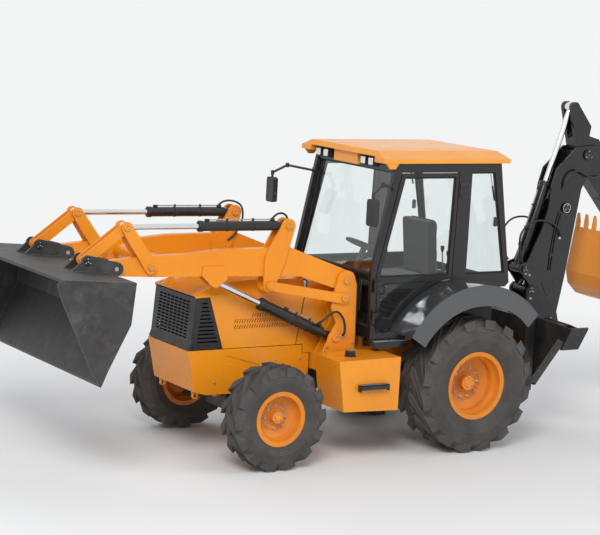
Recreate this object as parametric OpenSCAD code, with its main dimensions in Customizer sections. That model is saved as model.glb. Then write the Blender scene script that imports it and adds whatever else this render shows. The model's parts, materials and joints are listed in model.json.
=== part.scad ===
// Backhoe loader: wheeled tractor with a front loader and a rear digging arm.
// Millimetres. +X runs forward, +Y to the driver's left, +Z up. Side-view points are
// written [x, z], with x measured from the rear axle and z from the ground.
// Every module is drawn inside seated(), which moves x = 0 to the middle of the length.

/* [Running gear] */
// Distance between the axles
wheelbase = 2207; // [2150:1:2260]
// Outer radius of a rear tyre
rear_tyre_r = 657; // [640:1:670]
// Width of a rear tyre
rear_tyre_w = 495; // [440:1:500]
// Distance of a rear wheel's middle from the centre plane
rear_wheel_y = 822; // [815:1:850]
// Radius of a rear rim's bead seat
rear_rim_r = 305; // [295:1:320]
// Outer radius of a front tyre
front_tyre_r = 488; // [470:1:495]
// Width of a front tyre
front_tyre_w = 306; // [280:1:310]
// Distance of a front wheel's middle from the centre plane
front_wheel_y = 900; // [895:1:930]
// Radius of a front rim's bead seat
front_rim_r = 229; // [215:1:240]
// Height of a tread lug
lug_h = 34; // [20:1:40]
// Share of a tyre's width that its beads stand apart
bead_share = 0.755; // [0.74:0.005:0.77]
// Radius of a wheel's spindle
spindle_r = 35; // [30:1:40]
// Distance of a kingpin from the centre plane
kingpin_y = 680; // [675:1:690]

/* [Cab] */
// Half width of the cab
cab_half = 700; // [690:1:710]
// Depth of a cab pillar
pillar_w = 58; // [50:1:75]
// Thickness of the cab's walls and pillars
cab_wall = 45; // [35:1:55]
// Thickness of the glass
glass_t = 6; // [4:1:8]
// Height of the cab floor
floor_z = 1120; // [1110:1:1130]
// Height of the underside of the roof
roof_z = 2785; // [2780:1:2800]
// Height of the roof's crown
roof_top_z = 2905; // [2890:1:2920]

/* [Bonnet] */
// Half width of the bonnet
bonnet_half = 395; // [380:1:398]
// Thickness of the bonnet's sheet
sheet = 6; // [4:1:8]

/* [Loader] */
// Distance of a loader arm's middle plane from the centre plane
arm_y = 500; // [500:1:502]
// Width of a loader arm
arm_w = 80; // [70:1:82]
// Width of the loader bucket
bucket_w = 2300; // [2200:1:2400]
// Thickness of the loader bucket's plates
bucket_t = 12; // [8:1:14]
// Radius of the loader's pins
pin_r = 25; // [20:1:28]
// Radius of a lift cylinder's barrel
lift_barrel_r = 54; // [50:1:56]
// Radius of a lift cylinder's rod
lift_rod_r = 30; // [25:1:32]
// Radius of a tilt cylinder's barrel
tilt_barrel_r = 46; // [42:1:50]
// Radius of a tilt cylinder's rod
tilt_rod_r = 26; // [22:1:28]

/* [Backhoe] */
// Half width of the boom outside its cheeks
boom_half = 120; // [118:1:122]
// Thickness of the boom's cheek plates
cheek = 22; // [18:1:24]
// Half width of the dipper
dipper_half = 85; // [80:1:88]
// Width of the hoe bucket
hoe_w = 600; // [500:1:610]
// Radius of the backhoe cylinders' barrels
hoe_barrel_r = 55; // [50:1:58]
// Radius of the backhoe cylinders' rods
hoe_rod_r = 30; // [26:1:32]

/* [Fits] */
// Radial clearance of a pin in its bore
pin_gap = 0.4; // [0.3:0.1:0.6]
// Side clearance between linked plates
side_gap = 6; // [5:0.5:7]
// Gap between a fixed piece and its seat
seat = 0.3; // [0.1:0.1:0.5]
// Radius of a lashing eye's hole
lashing_r = 20; // [16:1:24]

/* [Hidden] */
$fn = 48;

orange = [0.93, 0.45, 0.07];
black = [0.10, 0.10, 0.11];
steel = [0.75, 0.76, 0.78];
rubber = [0.16, 0.16, 0.17];
glass = [0.6, 0.7, 0.72, 0.4];

// Side-view points of the loader linkage
lift_pin = [1270, 1655];
link_pin = [1300, 1490];
lift_base = [1360, 1105];
lift_eye = [2680, 1690];
lever_foot = [2120, 1640];
tilt_base = [1940, 2190];
lever_pin = [3360, 1850];
lever_top = [3615, 2210];
bucket_pin = [3710, 1850];
bucket_top_pin = [4000, 1925];

// Side-view points of the backhoe
king_x = -1420;
boom_pin = [-1580, 1070];
boom_ram_base = [-1300, 1400];
boom_ram_eye = [-1700, 2250];
dipper_ram_base = [-1220, 1620];
horn_pin = [-1770, 3290];
dipper_pin = [-1950, 2800];
hoe_pin = [-2900, 1660];

// Side-view points of the crowd linkage, set out along and across the dipper
dipper_len = norm(dipper_pin - hoe_pin);
along = (dipper_pin - hoe_pin) / dipper_len;
across = [-along[1], along[0]];
function on_dipper(u, v) = hoe_pin + u * along + v * across;
crowd_base = on_dipper(1130, 260);
rocker_pin = on_dipper(360, 0);
rocker_top = on_dipper(120, 268);
hoe_top_pin = on_dipper(-208, 120);

// Corners of the loader bucket, stored tipped with its cutting edge down
heel = [3800, 1822];
lip = [4101, 929];
bucket_back = [4500, 1872];

// The length runs from the hoe bucket's back to the loader bucket's upper edge
front_x = bucket_back[0] + 40;
rear_x = hoe_top_pin[0] - 55;
mid_x = (front_x + rear_x) / 2;

module seated() translate([-mid_x, 0, 0]) children();

// Draws the children and their mirror image on the other side
module both() {
    children();
    mirror([0, 1, 0]) children();
}

// Draws the children on the left, or mirrored on the right
module on_side(left) {
    if (left) children(); else mirror([0, 1, 0]) children();
}

// Thickens a side view from y0 to y1
module slab(y0, y1) translate([0, y1, 0]) rotate([90, 0, 0]) linear_extrude(y1 - y0) union() children();

// Thickens a front view, drawn as [y, z], from x0 to x1
module bulk(x0, x1) translate([x0, 0, 0]) rotate([90, 0, 90]) linear_extrude(x1 - x0) children();

module disc(p, r) translate(p) circle(r);

// Side view of a link: two round ends joined by their tangents
module link2d(a, ra, b, rb) {
    t = atan2(b[1] - a[1], b[0] - a[0]);
    f = acos((ra - rb) / norm(b - a));
    disc(a, ra);
    disc(b, rb);
    polygon([a + ra * [cos(t + f), sin(t + f)], b + rb * [cos(t + f), sin(t + f)],
        b + rb * [cos(t - f), sin(t - f)], a + ra * [cos(t - f), sin(t - f)]]);
}

// A round bar across the machine at side-view point p
module cross(p, r, y0, y1) translate([p[0], y1, p[1]]) rotate([90, 0, 0]) cylinder(r = r, h = y1 - y0);

// Turns +Z to point from p to q in side view
module aim(p, q) translate([p[0], 0, p[1]]) rotate([0, 90 - atan2(q[1] - p[1], q[0] - p[0]), 0]) children();

// Barrel of a cylinder that starts at p and points at q, with its bored eye at p. Its full
// width starts at the neck, clear of the plates that hold the eye
module barrel(p, q, len, r, rod_r, eye_r, eye_w, pin, neck = 0) {
    difference() {
        union() {
            cross(p, eye_r, -eye_w / 2, eye_w / 2);
            if (neck > 0) aim(p, q) cylinder(r = min(eye_w / 2, r - 8) - 1, h = neck + 1);
            aim(p, q) translate([0, 0, max(neck, eye_r * 0.7)]) cylinder(r = r, h = len - max(neck,
                eye_r * 0.7));
            aim(p, q) translate([0, 0, len - r * 0.9]) cylinder(r = r + 2, h = r * 0.9);
        }
        cross(p, pin + pin_gap, -eye_w, eye_w);
        aim(p, q) translate([0, 0, eye_r + 30]) cylinder(r = rod_r + pin_gap, h = len);
    }
}

// Rod of a cylinder, with its eye at q and its tail inside the barrel that starts at p
module rod(p, q, tail, r, eye_r, eye_w) {
    cross(q, eye_r, -eye_w / 2, eye_w / 2);
    aim(p, q) translate([0, 0, tail]) cylinder(r = r, h = norm(q - p) - tail - eye_r * 0.6);
}

// Carcass and lugs of a tyre about the Y axis at the origin, its lugs out to radius r
function bead_y(w) = w / 2 * bead_share;
function side_slope(r, w, rim) = (w / 2 - bead_y(w)) / ((r - lug_h - rim) / 2);
module tyre(r, w, rim, lugs) {
    crown = r - lug_h;
    hw = w / 2;
    rotate([90, 0, 0]) rotate_extrude($fn = 2 * lugs) polygon([
        [rim, -bead_y(w)], [(rim + crown) / 2, -hw], [crown - 45, -hw * 0.94], [crown, -hw * 0.70],
        [crown, hw * 0.70], [crown - 45, hw * 0.94], [(rim + crown) / 2, hw], [rim, bead_y(w)]]);
    for (side = [0, 1], i = [0 : lugs - 1]) mirror([0, side, 0])
        rotate([0, (i + side / 2) * 360 / lugs, 0]) lug(r, crown, hw, 360 / lugs);
}

// One bar lug, from the middle of the tread out over the shoulder: four corners at its
// inner end and four at its outer end, each end turned about the axle by half the sweep
function turn(p, a) = [p[0] * cos(a) + p[2] * sin(a), p[1], p[2] * cos(a) - p[0] * sin(a)];
module lug(r, crown, hw, pitch) {
    sweep = pitch * 0.6;
    wide = r * sin(pitch) * 0.18;
    inner = [[-wide, -12, crown - 10], [wide, -12, crown - 10], [wide, -12, r], [-wide, -12, r]];
    outer = [[-wide * 1.3, hw * 0.985, crown - 60], [wide * 1.3, hw * 0.985, crown - 60],
        [wide * 1.3, hw * 0.9, r - 6], [-wide * 1.3, hw * 0.9, r - 6]];
    polyhedron(concat([for (p = inner) turn(p, -sweep)], [for (p = outer) turn(p, sweep)]),
        [[0, 3, 2], [0, 2, 1], [5, 6, 7], [5, 7, 4], [3, 7, 6], [3, 6, 2],
         [1, 5, 4], [1, 4, 0], [4, 7, 3], [4, 3, 0], [1, 2, 6], [1, 6, 5]]);
}

// Pressed rim and disc about the Y axis, its open side out at +Y, with a blind bore for the spindle
hub_bore = 50;
module rim(r, w, outer_r, hub_r, bolts) {
    b = bead_y(w) + seat;
    k = side_slope(outer_r, w, r);
    difference() {
        rotate([-90, 0, 0]) union() {
            rotate_extrude() polygon([
                [r - seat, -b], [r + 28, -b - 28 * k], [r + 28, -b - 28 * k - 8], [r - 14, -b - 12],
                [r - 20, -b + 40], [r - 42, -b + 80], [r - 42, b - 95], [r - 20, b - 50], [r - 14, b + 12],
                [r + 28, b + 28 * k + 8], [r + 28, b + 28 * k], [r - seat, b], [r - seat, b - 50],
                    [r - 30, b - 90],
                [r - 30, -b + 76], [r - seat, -b + 40]]);
            rotate_extrude() polygon([
                [0, 14], [hub_r * 0.62, 14], [hub_r * 0.7, 4], [hub_r * 1.25, 4], [r - 36, 36],
                [r - 36, 20], [hub_r * 1.3, -14], [0, -14]]);
            cylinder(r = hub_r * 0.5, h = 70);
        }
        for (i = [0 : bolts - 1]) rotate([0, i * 360 / bolts, 0])
            translate([hub_r * 0.98, 0, 0]) rotate([90, 0, 0]) cylinder(r = 9, h = 60, center = true);
        rotate([-90, 0, 0]) translate([0, 0, -30]) cylinder(r = spindle_r + pin_gap, h = 30 + hub_bore);
    }
}

module front_wheel_at(left) on_side(left) translate([wheelbase, front_wheel_y, front_tyre_r]) children();
module rear_wheel_at(left) on_side(left) translate([0, rear_wheel_y, rear_tyre_r]) children();

module tyre_front(left) color(rubber) seated() front_wheel_at(left)
    tyre(front_tyre_r, front_tyre_w, front_rim_r, 14);
module tyre_rear(left) color(rubber) seated() rear_wheel_at(left)
    tyre(rear_tyre_r, rear_tyre_w, rear_rim_r, 16);
module rim_front(left) color(orange) seated() front_wheel_at(left)
    rim(front_rim_r, front_tyre_w, front_tyre_r, 110, 8);
module rim_rear(left) color(orange) seated() rear_wheel_at(left)
    rim(rear_rim_r, rear_tyre_w, rear_tyre_r, 150, 10);

// Chassis rails, cross members, the two loader towers and the seats of cab, axles and tank
rail_z0 = 770;
rail_z1 = 960;
rail_y0 = 250;
rail_y1 = 310;
rail_rear = -900;
tower_in = arm_y - arm_w / 2 - side_gap;
tower_out = arm_y + arm_w / 2 + side_gap;
tower_t = 20;
tower_base_z = 950;
weight_x = 2580;
pivot_z = 590;
pivot_r = 45;
box_y0 = 620;

module tower2d() union() {
    polygon([[1130, 800], [1150, 1620], [1200, 1735], [1340, 1735], [1400, 1560], [1425, 1400],
        [1362, 1250],
        [1420, 1150], [1460, 1060], [1520, 950], [1520, 800]]);
    disc(lift_pin, 100);
    disc(lift_base, 80);
}

module frame() color(orange) seated() difference() {
    union() {
        both() {
            slab(rail_y0, rail_y1) polygon([[rail_rear, rail_z0], [weight_x, rail_z0],
                [weight_x, rail_z1 - 40],
                [1500, rail_z1], [rail_rear, rail_z1]]);
            slab(tower_in - tower_t, tower_in) tower2d();
            slab(tower_out, tower_out + tower_t) tower2d();
            translate([1130, rail_y1 - 1, 800]) cube([390, box_y0 - rail_y1 + 1, tower_base_z - 800]);
            cross(lift_pin, pin_r, tower_in - tower_t - 10, tower_out + tower_t + 10);
            cross(lift_base, pin_r, tower_in - tower_t - 8, tower_out + tower_t + 8);
            cross(link_pin, pin_r, tower_out + 1, tower_out + tower_t + side_gap + link_t + 12);
            translate([2250, rail_y1 - 1, 800]) cube([160, bonnet_half - 12 - rail_y1 + 1, 110]);
            for (x = cab_feet) translate([x, 280, rail_z1 - 2]) cylinder(r = 42,
                h = floor_z - 30 - rail_z1 + 2);
        }
        translate([rail_rear, -rail_y0 - 1, rail_z0 + 10]) cube([60, 2 * rail_y0 + 2, 170]);
        translate([560, -rail_y0 - 1, rail_z1 - 40]) cube([120, 2 * rail_y0 + 2, 40]);
        translate([2480, -rail_y0 - 1, rail_z0]) cube([weight_x - 2480, 2 * rail_y0 + 2, 120]);
        for (x = [wheelbase - 160, wheelbase + 100]) bulk(x, x + 60) polygon([[-rail_y0 - 1, 800],
            [-rail_y0 - 1, rail_z0], [-90, 510], [90, 510], [rail_y0 + 1, rail_z0], [rail_y0 + 1, 800]]);
    }
    translate([wheelbase - 300, 0, pivot_z]) rotate([0, 90, 0]) cylinder(r = pivot_r + pin_gap, h = 600);
}
cab_feet = [-330, 900];

// Engine block with its gearbox, feet on the rails and the two propeller shafts
module powertrain() color(black) seated() {
    translate([1790, -235, 805]) cube([630, 470, 640]);
    translate([1400, -160, 640]) cube([400, 320, 300]);
    translate([840, -190, 540]) cube([600, 380, 380]);
    both() for (x = [900, 1860]) translate([x, 180, 830]) cube([100, rail_y0 - 180, 70]);
    translate([330, 0, rear_tyre_r]) rotate([0, 90, 0]) cylinder(r = 36, h = 520);
    translate([1430, 0, pivot_z]) rotate([0, 90, 0]) cylinder(r = 30, h = wheelbase - 170 - 1430);
}

module front_axle() color(black) seated() {
    difference() {
        union() {
            slab(-560, 560) polygon([[wheelbase - 70, 420], [wheelbase + 70, 420],
                [wheelbase + 70, 540], [wheelbase - 70, 540]]);
            slab(-180, 180) polygon([[wheelbase - 94, 400], [wheelbase + 94, 400], [wheelbase + 94, 560],
                [wheelbase + 60, 650], [wheelbase - 60, 650], [wheelbase - 94, 560]]);
            both() for (z = [358, 574]) translate([wheelbase - 62, 555, z]) cube([124,
                kingpin_y - 555 + 40, 44]);
            both() translate([wheelbase - 62, 550, 358]) cube([124, 30, 260]);
            translate([wheelbase - 170, 0, pivot_z]) rotate([0, 90, 0]) cylinder(r = pivot_r, h = 340);
        }
        both() translate([wheelbase, kingpin_y, 300]) cylinder(r = pin_r + pin_gap, h = 400);
    }
}

wheel_gap = 6;
module knuckle(left) color(black) seated() on_side(left) {
    translate([wheelbase, kingpin_y, 350]) cylinder(r = pin_r, h = 276);
    translate([wheelbase, kingpin_y, 402 + side_gap]) cylinder(r = 60, h = 172 - 2 * side_gap);
    translate([wheelbase, kingpin_y, front_tyre_r]) rotate([-90, 0, 0]) {
        cylinder(r = 70, h = front_wheel_y - kingpin_y - 14 - wheel_gap);
        cylinder(r = spindle_r, h = front_wheel_y - kingpin_y + hub_bore - 5);
    }
}

module rear_axle() color(black) seated() {
    translate([0, 0, rear_tyre_r]) sphere(190);
    translate([0, 0, rear_tyre_r]) rotate([0, 90, 0]) cylinder(r = 70, h = 330);
    both() {
        cross([0, rear_tyre_r], 105, 0, 540);
        cross([0, rear_tyre_r], 150, 460, rear_wheel_y - 14 - wheel_gap);
        cross([0, rear_tyre_r], spindle_r, 460, rear_wheel_y + hub_bore - 5);
        translate([-110, rail_y0, rear_tyre_r]) cube([220, rail_y1 - rail_y0, rail_z0 - rear_tyre_r]);
    }
}

// Lower cowl round the engine, with the front weight inside its wedge-shaped nose
nose_rear = 1540;
nose_z0 = 600;
nose_z1 = 1030;
module nose2d() polygon([[nose_rear, 640], [1950, nose_z0], [2640, nose_z0 + 8], [2764, nose_z0 + 40],
    [2850, nose_z1], [1620, nose_z1], [1620, tower_base_z - 6], [nose_rear, tower_base_z - 6]]);
module nose() color(orange) seated() {
    difference() {
        slab(-bonnet_half, bonnet_half) nose2d();
        translate([nose_rear - 1, -bonnet_half + 12, 500]) cube([weight_x - nose_rear + 1,
            2 * bonnet_half - 24, 700]);
        // pressed recess on each flank
        both() slab(bonnet_half - 5, bonnet_half + 1)
            polygon([[2080, 860], [2400, 960], [2450, 960], [2450, 905], [2140, 805], [2080, 805]]);
    }
    both() slab(300, 330) difference() {
        union() {
            polygon([[2670, 640], [2750, 650], [2738, 590], [2690, 580]]);
            disc(front_eye, 30);
        }
        disc(front_eye, lashing_r);
    }
}
front_eye = [2712, 590];

// Fixed panel between the bonnet's rear seam and the cab
module cowl2d() polygon([[1270, tower_base_z], [1612, tower_base_z], [1612, 1038], [1688, 1038],
    [1596, 1640], [1270, 1650]]);
module cowl() color(orange) seated() {
    difference() {
        slab(-bonnet_half, bonnet_half) cowl2d();
        slab(-bonnet_half + sheet, bonnet_half - sheet) polygon([[1200, 900], [1800, 900], [1800, 1000],
            [1700, 1000], [1602, 1634], [1200, 1644]]);
    }
    both() slab(260, 284) link2d([1588, 1640], 6, hood_pin, 14);
    both() cross(hood_pin, hinge_r, 240, 320);
}
hood_pin = [1598, 1680];
hinge_r = 8;

// Bonnet shell, cut at the front for the grille
hood_rear = [[1698, nose_z1 + 6], [1606, 1640]];
module hood2d() polygon([hood_rear[0], [2486, nose_z1 + 6], [2646, 1525], [2800, 1520],
    [2800, 1548], [2680, 1590], [2510, 1640], [2200, 1660], [hood_rear[1][0], 1655], hood_rear[1]]);
module hood_front2d(inset) polygon([[-bonnet_half + inset, 900], [-bonnet_half + inset, 1540 - inset],
    [-bonnet_half + 75, 1660 - inset], [0, 1672 - inset], [bonnet_half - 75, 1660 - inset],
    [bonnet_half - inset, 1540 - inset], [bonnet_half - inset, 900]]);
// Rows of slanted slots on each flank, as [height, first slot, number of slots]
louvre_rows = [[1215, 0, 24], [1268, 0, 24], [1321, 7, 13]];
louvre_x = 2370;
module louvres2d() for (row = louvre_rows, i = [0 : row[2] - 1])
    translate([louvre_x - 27 * (row[1] + i), row[0]]) polygon([[0, 0], [9, 0], [-5, 38], [-14, 38]]);

module hood() color(orange) seated() {
    difference() {
        intersection() {
            slab(-bonnet_half, bonnet_half) hood2d();
            bulk(1500, 2900) hood_front2d(0);
        }
        intersection() {
            slab(-bonnet_half + sheet, bonnet_half - sheet)
                polygon([[1500, 900], [2900, 900], [2900, 1500], [2790, 1536], [2676, 1582],
                    [2508, 1632], [2200, 1652], [1500, 1646]]);
            bulk(1400, 2950) hood_front2d(sheet);
        }
        both() slab(bonnet_half - sheet - 2, bonnet_half + 2) louvres2d();
    }
    both() slab(290, 310) difference() {
        union() {
            disc(hood_pin, 14);
            polygon([hood_pin + [0, 14], hood_pin + [70, -14], hood_pin + [70, -27],
                hood_pin + [14, -14], hood_pin + [0, -14]]);
        }
        disc(hood_pin, hinge_r + pin_gap);
    }
}

// Black front grille: a slotted front with a bevelled foot, and slotted side panels
grille_wall = 24;
module grille2d(inset) polygon([[2486 + seat + inset, nose_z1 + 6 + inset],
    [2846 - inset * 1.3, nose_z1 + 6 + inset],
    [2822 - inset, 1100], [2790 - inset, 1520 - inset], [2646 + seat + inset / 2, 1525 - seat - inset]]);
module grille() color(black) seated() difference() {
    slab(-bonnet_half + 3, bonnet_half - 3) grille2d(0);
    slab(-bonnet_half + 3 + grille_wall, bonnet_half - 3 - grille_wall) grille2d(grille_wall);
    both() slab(bonnet_half - 40, bonnet_half) for (z = [1100 : 36 : 1460])
        polygon([[2546 + (z - 1100) * 0.33, z], [2760 - (z - 1100) * 0.1, z],
            [2760 - (z - 1100) * 0.1, z + 14], [2550 + (z - 1100) * 0.33, z + 14]]);
    for (z = [1130 : 30 : 1460], y = [-300 : 75 : 240]) translate([2700, y, z]) cube([200, 60, 15]);
}

// Cab: pillars, sills, roof rails and rear wall, open at the windows and doors
a_base = [1056, 1180];
a_knee = [1086, 1740];
a_top = [871, roof_z];
b_x = 90;
c_top = [-374, roof_z];
c_base = [-564, 1600];
cab_z0 = 1100;

module cab_side2d() difference() {
    polygon([[a_base[0], cab_z0], a_base, a_knee, a_top, c_top, c_base, [-520, 1560], [300, 1560],
        [760, cab_z0]]);
    door2d(0);
    // rear side window
    polygon([[b_x - 115, roof_z - 90], [c_top[0] + pillar_w + 12, roof_z - 90],
        [c_base[0] + pillar_w + 10, 1700],
        [b_x - 115, 1700]]);
}

cab_in = cab_half - cab_wall;
front_x0 = a_base[0] - 45;
module cab_frame() color(black) seated() {
    both() slab(cab_in, cab_half) cab_side2d();
    // headers above the windscreen and the rear window, and the rear sill
    translate([a_top[0] - 60, -cab_in - 1, roof_z - 90]) cube([60, 2 * cab_in + 2, 90]);
    translate([c_top[0], -cab_in - 1, roof_z - 90]) cube([60, 2 * cab_in + 2, 90]);
    translate([-560, -cab_in - 1, 1560]) cube([50, 2 * cab_in + 2, 60]);
    // front wall with the two lower windows beside the bonnet
    difference() {
        bulk(front_x0, front_x0 + 30) polygon([[-cab_in - 1, cab_z0], [cab_in + 1, cab_z0],
            [cab_in + 1, a_knee[1] - 20],
            [-cab_in - 1, a_knee[1] - 20]]);
        both() bulk(front_x0 - 1, front_x0 + 31) polygon([[bonnet_half + 25, 1210], [cab_in - 5, 1210],
            [cab_in - 5, a_knee[1] - 70], [bonnet_half + 25, a_knee[1] - 70]]);
    }
    // sill with its step below each door
    both() {
        slab(cab_in, cab_half + 70) polygon([[640, 1060], [700, 1030], [1040, 1030], [1056, 1060],
            [1056, 1092], [640, 1092]]);
        slab(cab_in, cab_half) polygon([[640, 1060], [1056, 1060], [1056, 1150], [650, 1150]]);
    }
    // hinge lugs of the doors
    both() for (z = door_hinges) translate([door_pin_x, door_pin_y, z]) {
        cylinder(r = hinge_r, h = 90);
        translate([0, 0, -40]) cylinder(r = 15, h = 40);
        translate([-15, -door_pin_y + cab_half - 1, -40]) cube([30, door_pin_y - cab_half + 1, 40]);
    }
}
door_hinges = [1300, 1600];
door_pin_x = 1044;
door_pin_y = cab_half + 22;

// Roof with its lamp recess under the front edge, a panel between the lamps and two corner brackets
recess_z = 2838;
module roof() color(orange) seated() {
    difference() {
        hull() {
            translate([-455, -735, roof_z]) cube([1490, 1470, 40]);
            translate([-405, -575, roof_z + 80]) cube([1420, 1150, 25]);
            translate([-250, -420, roof_top_z - 10]) cube([1100, 840, 10]);
        }
        translate([920, -565, roof_z - 1]) cube([200, 1130, recess_z - roof_z + 1]);
    }
    translate([930, -205, 2725]) cube([60, 410, recess_z - 2725 + 4]);
    both() slab(cab_half + 6, cab_half + 30) polygon([[860, roof_z + 2], [1010, roof_z + 2],
        [962, 2732], [903, 2732]]);
}

// Windscreen, lower front windows, rear window and rear side windows
module windows() color(glass) seated() {
    slab(-cab_in + seat, cab_in - seat) polygon([[front_x0 + 8, a_knee[1] - 20 + seat],
        [front_x0 + 8 + glass_t, a_knee[1] - 20 + seat],
        [a_top[0] - 40 + glass_t, roof_z - 90 - seat], [a_top[0] - 40, roof_z - 90 - seat]]);
    both() bulk(front_x0 + 12,
        front_x0 + 12 + glass_t) polygon([[bonnet_half + 25 + seat, 1210 + seat],
            [cab_in - 5 - seat, 1210 + seat],
        [cab_in - 5 - seat, a_knee[1] - 70 - seat], [bonnet_half + 25 + seat, a_knee[1] - 70 - seat]]);
    slab(-cab_in + seat, cab_in - seat) polygon([[c_base[0] + 20, 1620 + seat],
        [c_base[0] + 20 + glass_t, 1620 + seat],
        [c_top[0] + 30 + glass_t, roof_z - 90 - seat], [c_top[0] + 30, roof_z - 90 - seat]]);
    both() slab(cab_half - 25, cab_half - 25 + glass_t) polygon([[b_x - 115 - seat, roof_z - 90 - seat],
        [c_top[0] + pillar_w + 12 + seat, roof_z - 90 - seat], [c_base[0] + pillar_w + 10 + seat,
            1700 + seat], [b_x - 115 - seat, 1700 + seat]]);
}

// Floor, dashboard, the wheel boxes beside the seat and the low rear wall
well_y = 520;
well_x = 700;
module cab_floor() color(black) seated() {
    translate([well_x, -cab_in + seat, floor_z - 30]) cube([front_x0 - well_x - seat,
        2 * (cab_in - seat), 30]);
    translate([-500, -well_y - 20, floor_z - 30]) cube([well_x + 501, 2 * well_y + 40, 30]);
    translate([front_x0 - 150, -190, floor_z - 1]) cube([150 - seat, 380, 500]);
    translate([-500, -well_y - 20, floor_z - 1]) cube([30, 2 * well_y + 40, 440]);
    both() {
        slab(well_y, well_y + 20) polygon([[-500, floor_z - 1], [740, floor_z - 1], [300, 1560],
            [-500, 1560]]);
        slab(well_y + 19, cab_in - seat) polygon([[760, 1119], [319, 1560], [-500, 1560], [-500, 1535],
            [309, 1535], [725, 1119]]);
        translate([well_x, well_y, floor_z - 1]) cube([60, cab_in - seat - well_y, 1]);
    }
}

module seat() color(black) seated() {
    translate([120, -200, floor_z]) cube([300, 400, 380]);
    translate([60, -260, floor_z + 380]) cube([520, 520, 120]);
    translate([0, -240, floor_z + 500]) cube([120, 480, 560]);
}

column = [[822, 1600], [692, 1910]];
module controls() color(black) seated() {
    aim(column[0], column[1]) cylinder(r = 30, h = 320);
    aim(column[0], column[1]) translate([0, 0, 320]) rotate_extrude() translate([190, 0]) circle(14);
    aim(column[0], column[1]) translate([0, 0, 312]) difference() {
        cylinder(r = 190, h = 12);
        for (a = [0, 120, 240]) rotate([0, 0, a + 60]) translate([95, 0, -1]) cylinder(r = 62, h = 20);
    }
    slab(-60, 60) polygon([[800, 1590], [front_x0 - 150 - seat, 1500], [front_x0 - 150 - seat, 1600],
        [830, 1640]]);
}

// Rear mudguards: a curved top and an outer skirt shaped as a crescent
fender_c = [28, 732];
fender_r = 919;
arch_r = 790;
fender_cut = [[-1600, -600], [1600, -600], [1600, 1665], [0, rear_tyre_r], [-1206, 1868], [-1600, 1868]];
module fender2d(inner) difference() {
    disc(fender_c, fender_r);
    disc(fender_c, inner);
    polygon(fender_cut);
}
module skirt2d() difference() {
    disc(fender_c, fender_r - 7);
    disc([0, rear_tyre_r], arch_r);
    polygon(fender_cut);
}
module fenders() color(black) seated() both() union() {
    slab(cab_half + seat, 1070) fender2d(fender_r - 14);
    slab(1052, 1068) skirt2d();
}

// Fuel tank on the left and hydraulic tank on the right
module side_boxes() color(orange) seated() both() slab(box_y0 + seat, 1050) polygon([[930, 490],
    [1540, 510], [1620, 990], [930, 1000]]);

// A round bar between two points in space
module bar(a, b, r) {
    d = b - a;
    translate(a) rotate([0, acos(d[2] / norm(d)), atan2(d[1], d[0])]) cylinder(r = r, h = norm(d));
}
mirror_arm = [[890, cab_half + 10, 2560], [1120, 850, 2600], [1255, 905, 2520], [1255, 905, 2250]];
module mirrors() color(black) seated() both() {
    for (i = [0 : len(mirror_arm) - 2]) bar(mirror_arm[i], mirror_arm[i + 1], 12);
    for (i = [1, 2]) translate(mirror_arm[i] - [0, 0, 22]) cylinder(r = 17, h = 44);
    translate([868, cab_half + seat, 2530]) cube([40, 16, 60]);
    bulk(1225, 1280) hull() for (y = [868, 942], z = [2253, 2447]) translate([y, z]) circle(28);
}

lamp_ys = [282, 414];
module lamps() color(black) seated() both() for (y = lamp_ys) {
    translate([935, y, 2735]) cube([70, 95, 90]);
    translate([950, y + 35, 2820]) cube([30, 25, recess_z - 2820 - seat]);
}

// Doors hang on the front pillar's foot and clear the mudguard as they swing
door_gap = 8;
door_frame = 36;
door_arc = fender_r + 12;
function arc(c, r, a0, a1,
    n) = [for (i = [0 : n]) c + r * [cos(a0 + (a1 - a0) * i / n), sin(a0 + (a1 - a0) * i / n)]];
module door2d(inset) polygon(concat([[a_base[0] - pillar_w - inset, cab_z0 + 70 + inset],
    [a_knee[0] - pillar_w - inset, a_knee[1]], [a_top[0] - pillar_w - 10 - inset, roof_z - 90 - inset],
    [b_x + 30 + inset, roof_z - 90 - inset]], arc(fender_c, door_arc + inset, 83.5 - inset / 16,
        28 + inset / 18, 8)));
door_t = 35;
strap_t = 10;
module door(left) color(black) seated() on_side(left) {
    slab(cab_half - door_t, cab_half) {
        difference() {
            door2d(door_gap);
            door2d(door_gap + door_frame);
        }
        door_rail2d(0);
    }
    difference() {
        union() for (z = door_hinges) {
            translate([door_pin_x, door_pin_y, z + side_gap]) cylinder(r = 15, h = 60);
            translate([door_pin_x - 80, cab_half - 1, z + side_gap]) cube([30, strap_t + 1, 60]);
            translate([door_pin_x - 80, door_pin_y - strap_t / 2, z + side_gap]) cube([80, strap_t, 60]);
            translate([door_pin_x - 80, cab_half - 1, z + side_gap]) cube([strap_t,
                door_pin_y - cab_half, 60]);
        }
        for (z = door_hinges) translate([door_pin_x, door_pin_y,
            z - 50]) cylinder(r = hinge_r + pin_gap, h = 200);
    }
}
// Rail across the door between its two panes, and the solid panel at its foot
module door_rail2d(edge) intersection() {
    door2d(door_gap + 20);
    union() {
        polygon([[0, 1640 - edge], [1100, 1640 - edge], [1100, 1700 + edge], [0, 1700 + edge]]);
        polygon([[500, 1000], [1100, 1000], [1100, 1290 + edge], [500, 1290 + edge]]);
    }
}
module door_glass(left) color(glass) seated() on_side(left)
    slab(cab_half - 22, cab_half - 22 + glass_t) difference() {
        door2d(door_gap + door_frame + seat);
        door_rail2d(seat);
    }

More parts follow.
